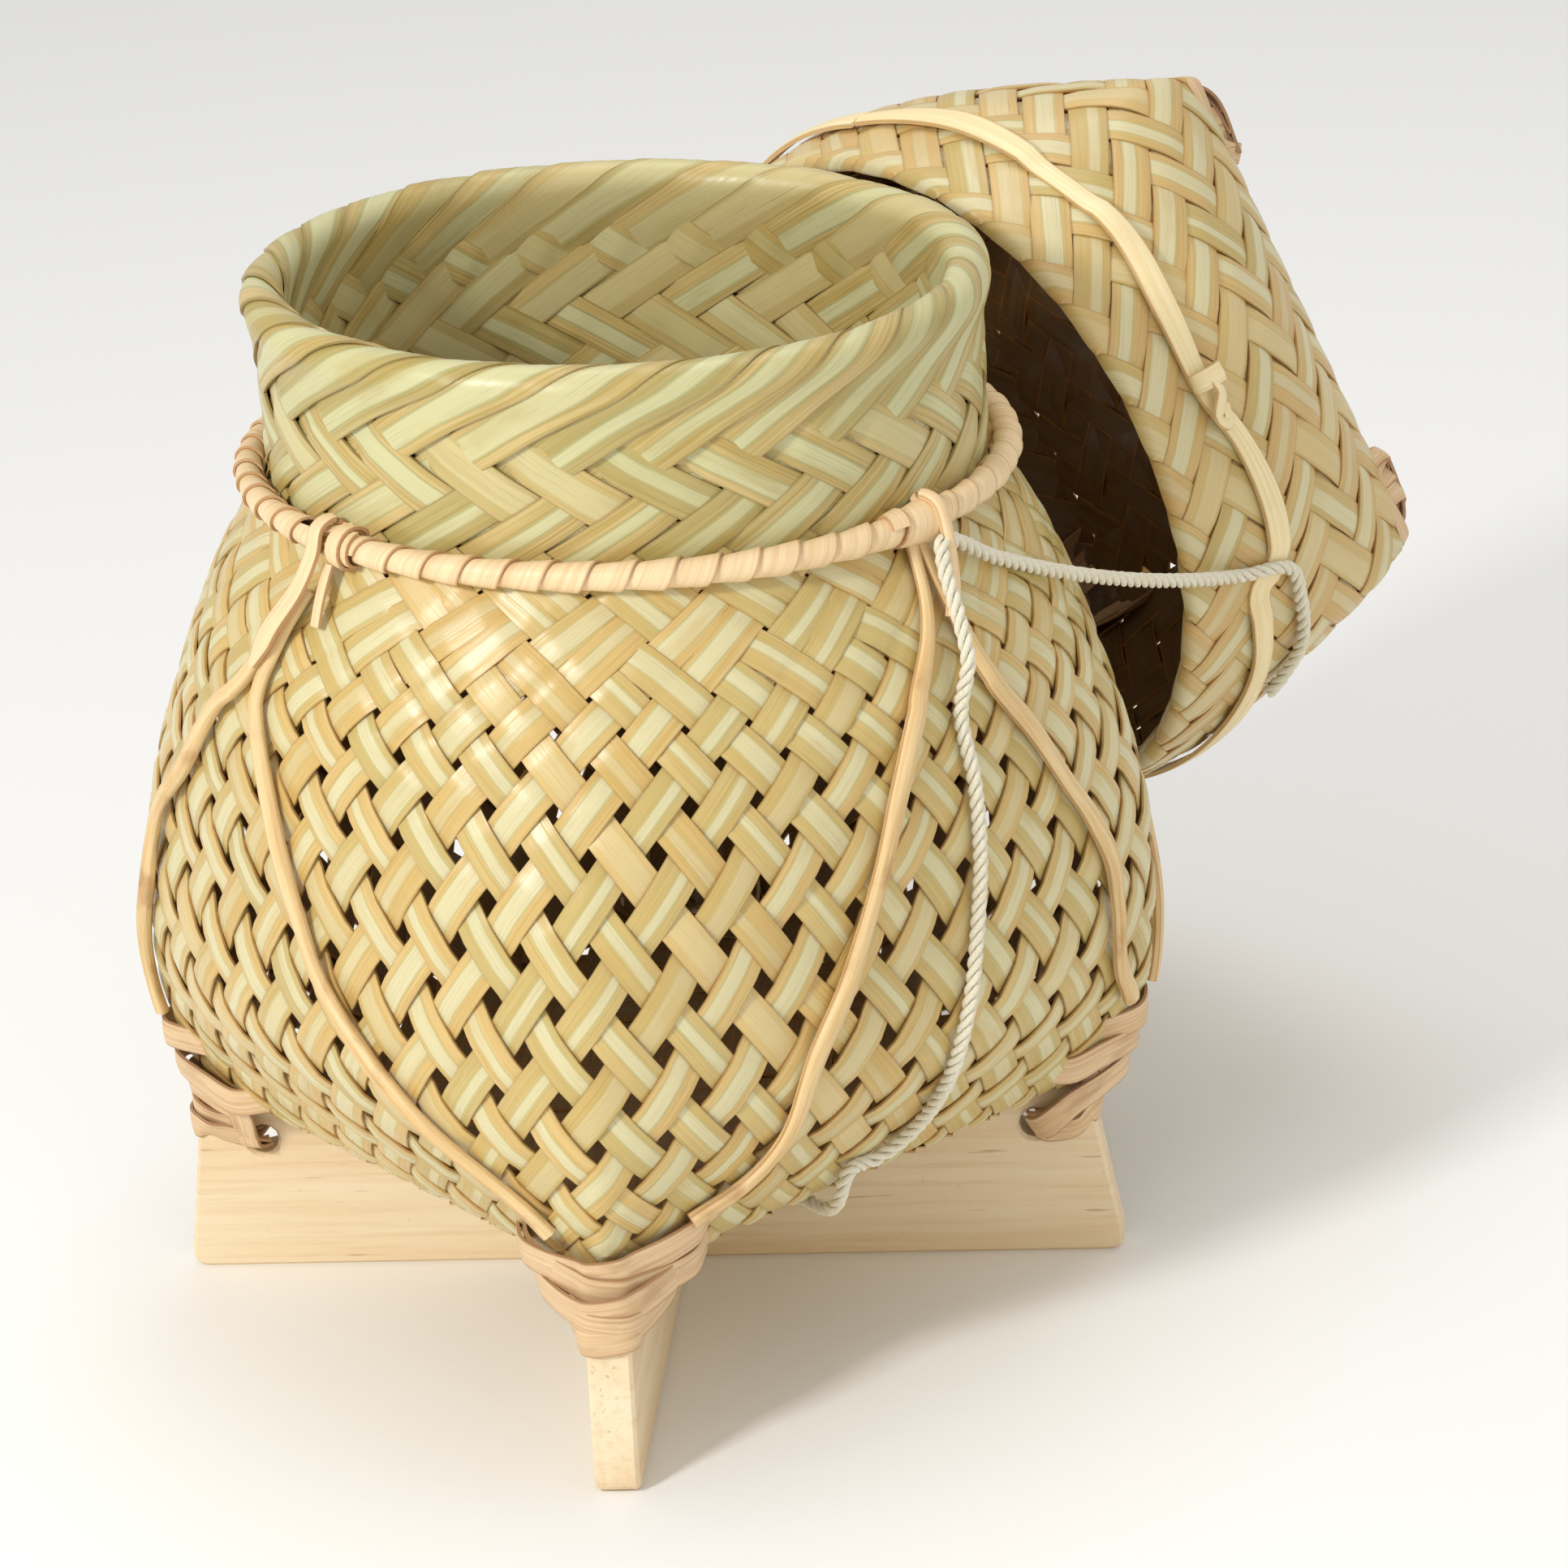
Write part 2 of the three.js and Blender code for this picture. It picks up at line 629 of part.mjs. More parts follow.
piece(basket, "basket_body", basketBody(), plaited);
piece(basket, "neck_lining", neckLining(), plaitedNeck);
piece(basket, "foot_board_long", footBoard(["left", "right"], "above"), boardWood);
piece(
  basket,
  "foot_board_cross",
  footBoard(["front", "back"], "below").rotateZ(crossBoardTurn),
  boardWood,
);
for (const corner of corners)
  piece(basket, `corner_lashing_${corner.name}`, cornerLashing(corner), caneDark);
piece(basket, "neck_ring_core", ringCore(), cane);
piece(basket, "neck_ring_wrap", ringWrap(), cane);
for (const name of Object.keys(tieAngles)) piece(basket, `ring_tie_${name}`, ringTie(name), cane);
for (const [name, rows] of Object.entries(stays)) piece(basket, name, stay(rows), cane);
piece(basket, "string_knot", stringKnot(), cotton);
piece(basket, "carrying_string_lower", stringLower(), cotton);
piece(basket, "carrying_string_span", stringSpan(), cotton);

piece(lidTurn, "lid_body", lidBody(), plaitedLid);
piece(lidTurn, "lid_hoop", lidHoop(), cane);
piece(lidTurn, "lid_hoop_knot", hoopKnot(), cane);
[0, 90, 180, 270].forEach((degrees, i) =>
  piece(lidTurn, `lid_corner_lashing_${i + 1}`, lidLashing(degrees), caneDark),
);
piece(lidTurn, "carrying_string_lid", stringOnLidPiece(), cotton);

const object = new THREE.Group();
object.add(basket, lid);
export default object;
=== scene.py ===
import math

import bpy
import numpy as np
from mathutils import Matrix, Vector


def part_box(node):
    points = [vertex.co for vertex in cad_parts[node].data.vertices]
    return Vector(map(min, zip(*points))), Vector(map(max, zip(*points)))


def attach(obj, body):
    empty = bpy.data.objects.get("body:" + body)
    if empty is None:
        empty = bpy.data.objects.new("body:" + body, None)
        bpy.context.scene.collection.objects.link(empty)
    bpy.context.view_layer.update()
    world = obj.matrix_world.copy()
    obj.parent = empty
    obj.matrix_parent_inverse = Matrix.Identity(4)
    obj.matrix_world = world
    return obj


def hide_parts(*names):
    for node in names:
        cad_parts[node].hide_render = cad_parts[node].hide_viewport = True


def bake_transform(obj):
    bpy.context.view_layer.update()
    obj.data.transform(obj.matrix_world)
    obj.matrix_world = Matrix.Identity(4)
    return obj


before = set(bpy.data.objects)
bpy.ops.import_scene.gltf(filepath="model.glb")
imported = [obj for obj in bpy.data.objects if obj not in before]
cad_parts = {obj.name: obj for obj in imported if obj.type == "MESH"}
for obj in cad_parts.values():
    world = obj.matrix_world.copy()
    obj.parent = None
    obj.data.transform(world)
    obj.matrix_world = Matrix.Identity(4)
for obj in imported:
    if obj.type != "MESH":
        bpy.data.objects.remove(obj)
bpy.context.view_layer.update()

MM = 0.001  # sizes below are in millimetres
rng = np.random.default_rng(20)


# --- the frame's sizes
def node_box(name):
    low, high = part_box(name)
    return np.array(low) / MM, np.array(high) / MM


ring_low, ring_high = node_box("neck_ring_core")
FLOOR = node_box("basket_body")[0][2]
RING_CORE = 1.0
RING_WRAP = 2.1
RING_RADIUS = (ring_high[1] - ring_low[1]) / 2 - RING_CORE
NECK_SHIFT = (ring_high[0] + ring_low[0]) / 2
RING_LEVEL = (ring_high[2] + ring_low[2]) / 2
NECK_TILT = 0.028
FLOOR_REACH = 74.0
BELLY_REACH = 82.0
NECK_RADIUS = 56.5
LINING_BOTTOM = 126.4
FOOT = 30.0

# --- the camera
# It looks from the front, a little to the right, from 22 degrees above, and is rolled slightly.
CAMERA_AZIMUTH = math.radians(5.8)
CAMERA_ELEVATION = math.radians(22.0)
CAMERA_ROLL = math.radians(-3.7)
CAMERA_DISTANCE = 890 * MM
CAMERA_LENS = 127.1
CAMERA_TARGET = Vector((24.1, 0, 83.05)) * MM


def make_camera():
    cos_e, sin_e = math.cos(CAMERA_ELEVATION), math.sin(CAMERA_ELEVATION)
    back = Vector((math.sin(CAMERA_AZIMUTH) * cos_e, -math.cos(CAMERA_AZIMUTH) * cos_e, sin_e))
    right = Vector((math.cos(CAMERA_AZIMUTH), math.sin(CAMERA_AZIMUTH), 0))
    up = back.cross(right)
    cos_r, sin_r = math.cos(CAMERA_ROLL), math.sin(CAMERA_ROLL)
    camera_right = right * cos_r + up * sin_r
    camera_up = up * cos_r - right * sin_r
    data = bpy.data.cameras.new("camera")
    data.lens = CAMERA_LENS
    data.sensor_width = 36
    data.clip_start = 0.05
    camera = bpy.data.objects.new("camera", data)
    bpy.context.collection.objects.link(camera)
    turn = camera.matrix_world.to_3x3()
    turn.col[0], turn.col[1], turn.col[2] = camera_right, camera_up, back
    camera.matrix_world = turn.to_4x4()
    camera.location = CAMERA_TARGET + back * CAMERA_DISTANCE
    bpy.context.scene.camera = camera


make_camera()


# --- curves and surfaces
def along(table, x):
    """The smooth curve through the rows (x, y) of a table, level beyond its ends, as the CAD draws it."""
    xs, ys = np.array(table, float).T
    slopes = np.empty(len(xs))
    slopes[1:-1] = (ys[2:] - ys[:-2]) / (xs[2:] - xs[:-2])
    slopes[0] = (ys[1] - ys[0]) / (xs[1] - xs[0])
    slopes[-1] = (ys[-1] - ys[-2]) / (xs[-1] - xs[-2])
    x = np.clip(np.asarray(x, float), xs[0], xs[-1])
    i = np.clip(np.searchsorted(xs, x, side="right") - 1, 0, len(xs) - 2)
    step = xs[i + 1] - xs[i]
    t = (x - xs[i]) / step
    rise = ys[i] * (1 + 2 * t) * (1 - t) ** 2 + ys[i + 1] * (3 - 2 * t) * t**2
    return rise + slopes[i] * step * t * (1 - t) ** 2 - slopes[i + 1] * step * (1 - t) * t**2


def squared(angle, n):
    """Radius of a rounded square with its corners on the axes: n is 1 for a square, 2 for a circle."""
    return 1 / (np.abs(np.cos(angle)) ** n + np.abs(np.sin(angle)) ** n) ** (1 / n)


def mix(a, b, t):
    return a + (b - a) * t


def smooth(x, low, high):
    t = np.clip((np.asarray(x, float) - low) / (high - low), 0, 1)
    return t * t * (3 - 2 * t)


REACH = [
    (0, FLOOR_REACH),
    (0.13, mix(NECK_RADIUS, BELLY_REACH, 0.92)),
    (0.285, BELLY_REACH),
    (0.5, mix(NECK_RADIUS, BELLY_REACH, 0.92)),
    (0.7, mix(NECK_RADIUS, BELLY_REACH, 0.647)),
    (0.86, mix(NECK_RADIUS, BELLY_REACH, 0.36)),
    (1, NECK_RADIUS + 0.6),
    (1.12, NECK_RADIUS),
]
SQUARENESS = [(0, 0.96), (0.11, 1.1), (0.27, 1.4), (0.5, 1.5), (0.78, 2)]


def share_of(level):
    return (np.asarray(level, float) - FLOOR) / (RING_LEVEL - FLOOR)


def level_at(share):
    return FLOOR + share * (RING_LEVEL - FLOOR)


def basket_place(angle, radius, level):
    """A point of the basket at an angle, with its corner reach and level, leaning as the neck does."""
    share = np.clip(share_of(level), 0, 1)
    reach = radius * squared(angle, along(SQUARENESS, share_of(level)))
    x, y = reach * np.cos(angle), reach * np.sin(angle)
    z = level - NECK_TILT * share * x
    return np.stack([x + NECK_SHIFT * share, y, z + 0 * y], axis=-1)


LID_MOUTH = 60.3
LID_TOP = 58.6
LID_SWELL = 5.2
LID_HEIGHT = 57.5
LID_REACH = [
    (0, LID_MOUTH),
    (0.35, LID_MOUTH + 0.75 * LID_SWELL),
    (0.7, LID_MOUTH + LID_SWELL),
    (0.9, mix(LID_TOP, LID_MOUTH + LID_SWELL, 0.57)),
    (1, LID_TOP),
]
LID_SQUARENESS = [(0, 2), (0.35, 1.75), (0.7, 1.3), (1, 0.97)]
LID_PLACE = np.array((44.9, 69.5, 108.6))
LID_ACROSS = np.array((0.16728, -0.36594, 0.91548))
LID_ALONG = np.array((0.72334, -0.58541, -0.36617))
LID_AXIS = np.array((0.66993, 0.72345, 0.16677))


def lid_to_row(points):
    x, y, z = np.moveaxis(np.asarray(points, float), -1, 0)
    return LID_PLACE + x[..., None] * LID_ACROSS + y[..., None] * LID_ALONG + z[..., None] * LID_AXIS


def lid_place(angle, radius, level):
    reach = radius * squared(angle, along(LID_SQUARENESS, np.asarray(level) / LID_HEIGHT))
    flat = np.stack([reach * np.cos(angle), reach * np.sin(angle), level + 0 * angle], axis=-1)
    return lid_to_row(flat)


def on_surface(place, reach_at, degrees, level, lift=0.0):
    """Points on the outside of the basket or the lid, lifted off along the outward normal."""
    angle = np.radians(np.asarray(degrees, float))
    level = np.asarray(level, float)
    small = 0.02
    point = place(angle, reach_at(level), level)
    around = place(angle + small, reach_at(level), level) - place(angle - small, reach_at(level), level)
    up = place(angle, reach_at(level + small), level + small)
    up = up - place(angle, reach_at(level - small), level - small)
    normal = unit(np.cross(around, up))
    return point + normal * np.asarray(lift, float)[..., None], normal


def basket_reach(level):
    return along(REACH, share_of(level))


def lid_reach(level):
    return along(LID_REACH, np.asarray(level) / LID_HEIGHT)


def on_basket(degrees, share, lift=0.0):
    return on_surface(basket_place, basket_reach, degrees, level_at(np.asarray(share, float)), lift)


def on_lid(degrees, level, lift=0.0):
    return on_surface(lid_place, lid_reach, degrees, level, lift)


def unit(v):
    return v / np.maximum(np.linalg.norm(v, axis=-1, keepdims=True), 1e-9)


def spline(points, step=1.2):
    """A centripetal Catmull-Rom curve through a list of points, sampled every step millimetres."""
    p = np.asarray(points, float)
    p = np.vstack([2 * p[0] - p[1], p, 2 * p[-1] - p[-2]])
    out = []
    for a, b, c, d in zip(p[:-3], p[1:-2], p[2:-1], p[3:]):
        t1 = max(np.linalg.norm(b - a), 1e-6) ** 0.5
        t2 = t1 + max(np.linalg.norm(c - b), 1e-6) ** 0.5
        t3 = t2 + max(np.linalg.norm(d - c), 1e-6) ** 0.5
        count = max(2, int(round(np.linalg.norm(c - b) / step)))
        t = np.linspace(t1, t2, count, endpoint=False)[:, None]
        ab = a * (t1 - t) / t1 + b * t / t1
        bc = b * (t2 - t) / (t2 - t1) + c * (t - t1) / (t2 - t1)
        cd = c * (t3 - t) / (t3 - t2) + d * (t - t2) / (t3 - t2)
        abc = ab * (t2 - t) / t2 + bc * t / t2
        bcd = bc * (t3 - t) / (t3 - t1) + cd * (t - t1) / (t3 - t1)
        out.append(abc * (t2 - t) / (t2 - t1) + bcd * (t - t1) / (t2 - t1))
    return np.vstack(out + [p[-2:-1]])


# --- meshes
class Build:
    """Gathers rings of points into one mesh, with UVs in strip widths and a tone for each strip."""

    def __init__(self):
        self.points, self.faces, self.uvs, self.tones, self.backs = [], [], [], [], []
        self.count = 0

    def tube(self, rings, across, length, tone, closed=False, back=None):
        """Joins rings (steps, sides, 3). across is each side's U, length each step's V."""
        steps, sides = rings.shape[:2]
        start = self.count
        self.points.append(rings.reshape(-1, 3))
        self.count += steps * sides
        self.tones.append(np.full(steps * sides, tone))
        self.backs.append(np.zeros(steps * sides) if back is None else np.tile(back, steps))
        span = steps if closed else steps - 1
        near = np.arange(span)[:, None] * sides
        far = (np.arange(1, span + 1) % steps)[:, None] * sides
        side = np.arange(sides)[None, :]
        after = (side + 1) % sides
        faces = np.stack([near + side, near + after, far + after, far + side], -1) + start
        self.faces += faces.reshape(-1, 4).tolist()
        u0, u1 = across, np.append(across[1:], across[0])
        v0, v1 = length[:span], length[1:span + 1] if not closed else np.append(length[1:], length[0])
        uv = np.empty((span, sides, 4, 2))
        uv[:, :, 0, 0] = uv[:, :, 3, 0] = u0
        uv[:, :, 1, 0] = uv[:, :, 2, 0] = u1
        uv[:, :, 0, 1] = uv[:, :, 1, 1] = v0[:, None]
        uv[:, :, 2, 1] = uv[:, :, 3, 1] = v1[:, None]
        self.uvs.append(uv.reshape(-1, 2))
        if not closed:
            for ring, order in ((0, range(sides - 1, -1, -1)), (steps - 1, range(sides))):
                self.faces.append([start + ring * sides + k for k in order])
                self.uvs.append(np.array([(across[k], length[ring]) for k in order]))

    def piece(self, name, material, body, slot, sharp=50):
        mesh = bpy.data.meshes.new(name)
        mesh.from_pydata((np.vstack(self.points) * MM).tolist(), [], self.faces)
        mesh.uv_layers.new(name="strip").data.foreach_set("uv", np.vstack(self.uvs).ravel())
        tone = mesh.attributes.new("tone", "FLOAT", "POINT")
        tone.data.foreach_set("value", np.concatenate(self.tones).astype(np.float32))
        back = mesh.attributes.new("back", "FLOAT", "POINT")
        back.data.foreach_set("value", np.concatenate(self.backs).astype(np.float32))
        mesh.shade_smooth()
        mesh.set_sharp_from_angle(angle=math.radians(sharp))
        mesh.materials.append(material)
        piece = bpy.data.objects.new(name, mesh)
        bpy.context.collection.objects.link(piece)
        if body:
            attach(piece, body)
        return piece


# Places across a strip, from -1 to 1: over its face, and back along its underside.
TOP = np.linspace(-1, 1, 7)
UNDER = np.linspace(1, -1, 3)
UNDER_IN_TOP = [6, 3, 0]
V_LENGTH = 10  # millimetres along a strip for each step of V


def travelled(path):
    """How far along a path each of its points lies."""
    return np.concatenate([[0], np.cumsum(np.linalg.norm(np.diff(path, axis=0), axis=1))])


def strip_v(path):
    """V along a strip, from a start of its own."""
    return travelled(path) / V_LENGTH + rng.uniform(0, 50)


def across_path(tangent, normal):
    """The normals made square to the tangents, and the directions to their right."""
    normal = unit(normal - tangent * np.sum(normal * tangent, axis=-1, keepdims=True))
    return normal, np.cross(tangent, normal)


def each(value, path):
    """One value, or a value for each point of a path, as a column."""
    return np.broadcast_to(np.asarray(value, float), len(path))[:, None]


def strip(build, path, normal, width, thick=0.45, crown=0.2, tilt=0.0, closed=False):
    """Lays a flat strip along a path, with its face along the normals. tilt lifts its right-hand edge."""
    tangent = np.gradient(path, axis=0)
    if closed:
        tangent = np.roll(path, -1, axis=0) - np.roll(path, 1, axis=0)
    normal, side = across_path(unit(tangent), normal)
    half, lean, thick = each(width, path) / 2, each(tilt, path), each(thick, path)
    across = np.concatenate([TOP, UNDER])[None, :]
    upper = np.arange(across.size)[None, :] < TOP.size
    high = np.where(upper, thick / 2, -thick / 2) + crown * (1 - across**2) + lean * across
    rings = path[:, None] + side[:, None] * (half * across)[..., None] + normal[:, None] * high[..., None]
    length = strip_v(path)
    build.tube(rings, across[0] / 2 + 0.5, length, rng.random(), closed, back=np.where(upper[0], 0.0, 1.0))


def rod(build, path, normal, wide, high, sides=8, tone=None):
    """A round or oval cane along a path."""
    normal, side = across_path(unit(np.gradient(path, axis=0)), normal)
    turn = np.linspace(0, 2 * np.pi, sides, endpoint=False)
    wide, high = each(wide, path), each(high, path)
    rings = path[:, None] + side[:, None] * (wide / 2 * np.cos(turn))[..., None]
    rings = rings + normal[:, None] * (high / 2 * np.sin(turn))[..., None]
    length = strip_v(path)
    build.tube(rings, np.linspace(0, 1, sides), length, rng.random() if tone is None else tone)


# --- materials
class Nodes:
    """Short calls for building a material's nodes."""

    def __init__(self, name):
        self.material = bpy.data.materials.new(name)
        self.material.use_nodes = True
        self.tree = self.material.node_tree
        self.shader = self.tree.nodes["Principled BSDF"]

    def put(self, socket, value):
        if isinstance(value, bpy.types.NodeSocket):
            self.tree.links.new(value, socket)
        else:
            socket.default_value = value

    def math(self, operation, a, b=0.0):
        node = self.tree.nodes.new("ShaderNodeMath")
        node.operation = operation
        for socket, value in zip(node.inputs, (a, b)):
            self.put(socket, value)
        return node.outputs[0]

    def range(self, value, low, high, to_low=0.0, to_high=1.0):
        node = self.tree.nodes.new("ShaderNodeMapRange")
        node.interpolation_type = "SMOOTHSTEP"
        for socket, given in zip(node.inputs, (value, low, high, to_low, to_high)):
            self.put(socket, given)
        return node.outputs[0]

    def mix(self, factor, a, b):
        node = self.tree.nodes.new("ShaderNodeMix")
        node.data_type = "RGBA"
        for socket, value in zip((node.inputs[0], node.inputs[6], node.inputs[7]), (factor, a, b)):
            self.put(socket, value)
        return node.outputs[2]

    def noise(self, vector, scale, detail=3.0, rough=0.5):
        node = self.tree.nodes.new("ShaderNodeTexNoise")
        self.put(node.inputs["Vector"], vector)
        node.inputs["Scale"].default_value = scale
        node.inputs["Detail"].default_value = detail
        node.inputs["Roughness"].default_value = rough
        return node.outputs[0]

    def stretched(self, u, v, across, along, seed):
        """Coordinates with their own scales across and along a strip, shifted by a seed."""
        places = (self.math("MULTIPLY", u, across), self.math("MULTIPLY", v, along), seed)
        node = self.tree.nodes.new("ShaderNodeCombineXYZ")
        for socket, value in zip(node.inputs, places):
            self.put(socket, value)
        return node.outputs[0]

    def bump(self, height, strength, distance):
        node = self.tree.nodes.new("ShaderNodeBump")
        self.put(node.inputs["Height"], height)
        node.inputs["Strength"].default_value = strength
        node.inputs["Distance"].default_value = distance
        self.tree.links.new(node.outputs[0], self.shader.inputs["Normal"])


def srgb(r, g, b):
    """A colour given in the usual 0 to 255 steps, as the linear colour that shaders take."""
    parts = (r / 255, g / 255, b / 255)
    linear = [c / 12.92 if c <= 0.04045 else ((c + 0.055) / 1.055) ** 2.4 for c in parts]
    return (*linear, 1.0)


def strip_inputs(n):
    """A point's place across and along its strip, and the strip's own tone."""
    uv = n.tree.nodes.new("ShaderNodeUVMap")
    uv.uv_map = "strip"
    parts = n.tree.nodes.new("ShaderNodeSeparateXYZ")
    n.tree.links.new(uv.outputs[0], parts.inputs[0])
    tone = n.tree.nodes.new("ShaderNodeAttribute")
    tone.attribute_name = "tone"
    return parts.outputs[0], parts.outputs[1], tone.outputs["Fac"]


def bamboo(name, heart, skin, edge, warm, dark, rough=0.36, inside=None):
    """Split bamboo: a pale heart between greenish lines, tan edges and fine lengthwise streaks, and, where
    inside is given, painted shade on the strips' undersides.
    """
    n = Nodes(name)
    u, v, tone = strip_inputs(n)
    seed = n.math("MULTIPLY", tone, 61.0)
    seed2 = n.math("FRACT", n.math("MULTIPLY", tone, 17.31))
    seed3 = n.math("FRACT", n.math("MULTIPLY", tone, 71.7))
    wander = n.noise(n.stretched(u, v, 0.3, 0.35, seed), 1.0, 2.0)
    middle = n.math("ADD", 0.36, n.math("MULTIPLY", seed2, 0.28))
    middle = n.math("ADD", middle, n.math("MULTIPLY", n.math("SUBTRACT", wander, 0.5), 0.16))
    away = n.math("ABSOLUTE", n.math("SUBTRACT", u, middle))
    half = n.math("ADD", 0.13, n.math("MULTIPLY", seed3, 0.2))
    heart_mask = n.range(n.math("SUBTRACT", half, away), -0.05, 0.04, 0.0, 0.85)
    line = n.range(n.math("ABSOLUTE", n.math("SUBTRACT", away, half)), 0.055, 0.0)
    streak = n.noise(n.stretched(u, v, 16.0, 0.25, seed), 1.0, 4.0, 0.65)
    fine = n.noise(n.stretched(u, v, 60.0, 0.6, seed), 1.0, 3.0, 0.6)
    blotch = n.noise(n.stretched(u, v, 1.4, 0.5, seed), 1.0, 3.0)
    outer = n.mix(n.range(streak, 0.35, 0.7), edge, warm)
    outer = n.mix(n.range(n.math("SUBTRACT", seed2, 0.5), 0.0, 0.45, 0.0, 0.45), outer, skin)
    colour = n.mix(heart_mask, outer, heart)
    colour = n.mix(n.math("MULTIPLY", line, 0.55), colour, skin)
    colour = n.mix(n.range(n.math("FRACT", n.math("MULTIPLY", tone, 29.3)), 0.6, 1.0, 0.0, 0.5), colour, warm)
    colour = n.mix(n.math("MULTIPLY", n.range(blotch, 0.52, 0.75), 0.45), colour, warm)
    colour = n.mix(n.range(seed3, 0.72, 0.95, 0.0, 0.6), colour, edge)
    colour = n.mix(n.range(fine, 0.5, 0.78, 0.0, 0.35), colour, dark)
    colour = n.mix(n.math("MULTIPLY", n.range(streak, 0.36, 0.24), 0.5), colour, dark)
    # Darker along both edges of each strip: painted shade in the gaps between the strips.
    border = n.range(n.math("ABSOLUTE", n.math("SUBTRACT", u, 0.5)), 0.45, 0.5, 0.0, 0.4)
    colour = n.mix(border, colour, dark)
    # Painted shade: the strips' undersides are dark brown, so the basket's inside and the gaps in the
    # plaiting look shaded.
    if inside:
        back = n.tree.nodes.new("ShaderNodeAttribute")
        back.attribute_name = "back"
        shade = n.mix(n.range(streak, 0.3, 0.7, 0.0, 0.3), inside, dark)
        # Painted light: an orange glow along the edges of the undersides, as if light came through between
        # the strips.
        shade = n.mix(n.math("MULTIPLY", border, 1.8), shade, srgb(178, 108, 34))
        colour = n.mix(n.range(back.outputs["Fac"], 0.4, 0.9, 0.0, 0.93), colour, shade)
    n.put(n.shader.inputs["Base Color"], colour)
    n.put(n.shader.inputs["Roughness"], n.range(streak, 0.3, 0.7, rough - 0.07, rough + 0.12))
    n.shader.inputs["Specular IOR Level"].default_value = 0.5
    n.bump(n.math("ADD", n.math("MULTIPLY", streak, 0.7), n.math("MULTIPLY", fine, 0.3)), 0.5, 0.12 * MM)
    return n.material


def cane(name, pale, tan, brown, rough=0.45, stain=0.4):
    """Split cane: nearly even, with long fibres and brown stains."""
    n = Nodes(name)
    u, v, tone = strip_inputs(n)
    seed = n.math("MULTIPLY", tone, 61.0)
    streak = n.noise(n.stretched(u, v, 9.0, 0.4, seed), 1.0, 4.0, 0.6)
    fine = n.noise(n.stretched(u, v, 40.0, 1.0, seed), 1.0, 3.0, 0.6)
    blotch = n.noise(n.stretched(u, v, 1.2, 0.9, seed), 1.0, 4.0)
    colour = n.mix(n.range(streak, 0.35, 0.7), pale, tan)
    colour = n.mix(n.range(blotch, 0.55, 0.75, 0.0, stain), colour, brown)
    colour = n.mix(n.range(fine, 0.55, 0.8, 0.0, 0.35), colour, brown)
    # Darker along both edges of each strip: painted shade in the seams between the turns and strips.
    border = n.range(n.math("ABSOLUTE", n.math("SUBTRACT", u, 0.5)), 0.42, 0.5, 0.0, 0.7)
    colour = n.mix(border, colour, brown)
    n.put(n.shader.inputs["Base Color"], colour)
    n.put(n.shader.inputs["Roughness"], n.range(streak, 0.3, 0.7, rough - 0.08, rough + 0.12))
    n.bump(n.math("ADD", streak, n.math("MULTIPLY", fine, 0.4)), 0.45, 0.12 * MM)
    return n.material


def board_wood(name, axis):
    """Pale close-grained board: fine lines and short dark pores along one axis."""
    n = Nodes(name)
    place = n.tree.nodes.new("ShaderNodeTexCoord").outputs["Object"]

    def grain(along_axis, across_axis, scale, detail=4.0):
        node = n.tree.nodes.new("ShaderNodeMapping")
        n.tree.links.new(place, node.inputs["Vector"])
        sizes = [across_axis] * 3
        sizes[axis] = along_axis
        node.inputs["Scale"].default_value = sizes
        return n.noise(node.outputs[0], scale, detail, 0.6)

    bands = grain(6, 90, 1.0)
    pores = grain(70, 900, 1.0, 2.0)
    fibres = grain(25, 700, 1.0, 4.0)
    speck = grain(500, 500, 1.0, 2.0)
    colour = n.mix(n.range(bands, 0.3, 0.7), srgb(241, 223, 190), srgb(231, 205, 164))
    colour = n.mix(n.range(fibres, 0.45, 0.75, 0.0, 0.4), colour, srgb(214, 176, 122))
    colour = n.mix(n.range(pores, 0.66, 0.76, 0.0, 0.55), colour, srgb(176, 134, 84))
    colour = n.mix(n.range(speck, 0.68, 0.8, 0.0, 0.3), colour, srgb(196, 160, 110))
    n.put(n.shader.inputs["Base Color"], colour)
    n.shader.inputs["Roughness"].default_value = 0.68
    n.bump(n.math("ADD", fibres, n.math("MULTIPLY", pores, -0.6)), 0.5, 0.2 * MM)
    return n.material


def cotton(name):
    n = Nodes(name)
    place = n.tree.nodes.new("ShaderNodeTexCoord").outputs["Object"]
    fuzz = n.noise(place, 2600.0, 4.0, 0.7)
    soil = n.noise(place, 90.0, 3.0)
    colour = n.mix(n.range(fuzz, 0.3, 0.7), srgb(238, 233, 214), srgb(222, 214, 188))
    colour = n.mix(n.range(soil, 0.5, 0.75, 0.0, 0.35), colour, srgb(226, 214, 178))
    n.put(n.shader.inputs["Base Color"], colour)
    n.shader.inputs["Roughness"].default_value = 0.88
    n.shader.inputs["Sheen Weight"].default_value = 0.25
    n.bump(fuzz, 0.6, 0.15 * MM)
    return n.material


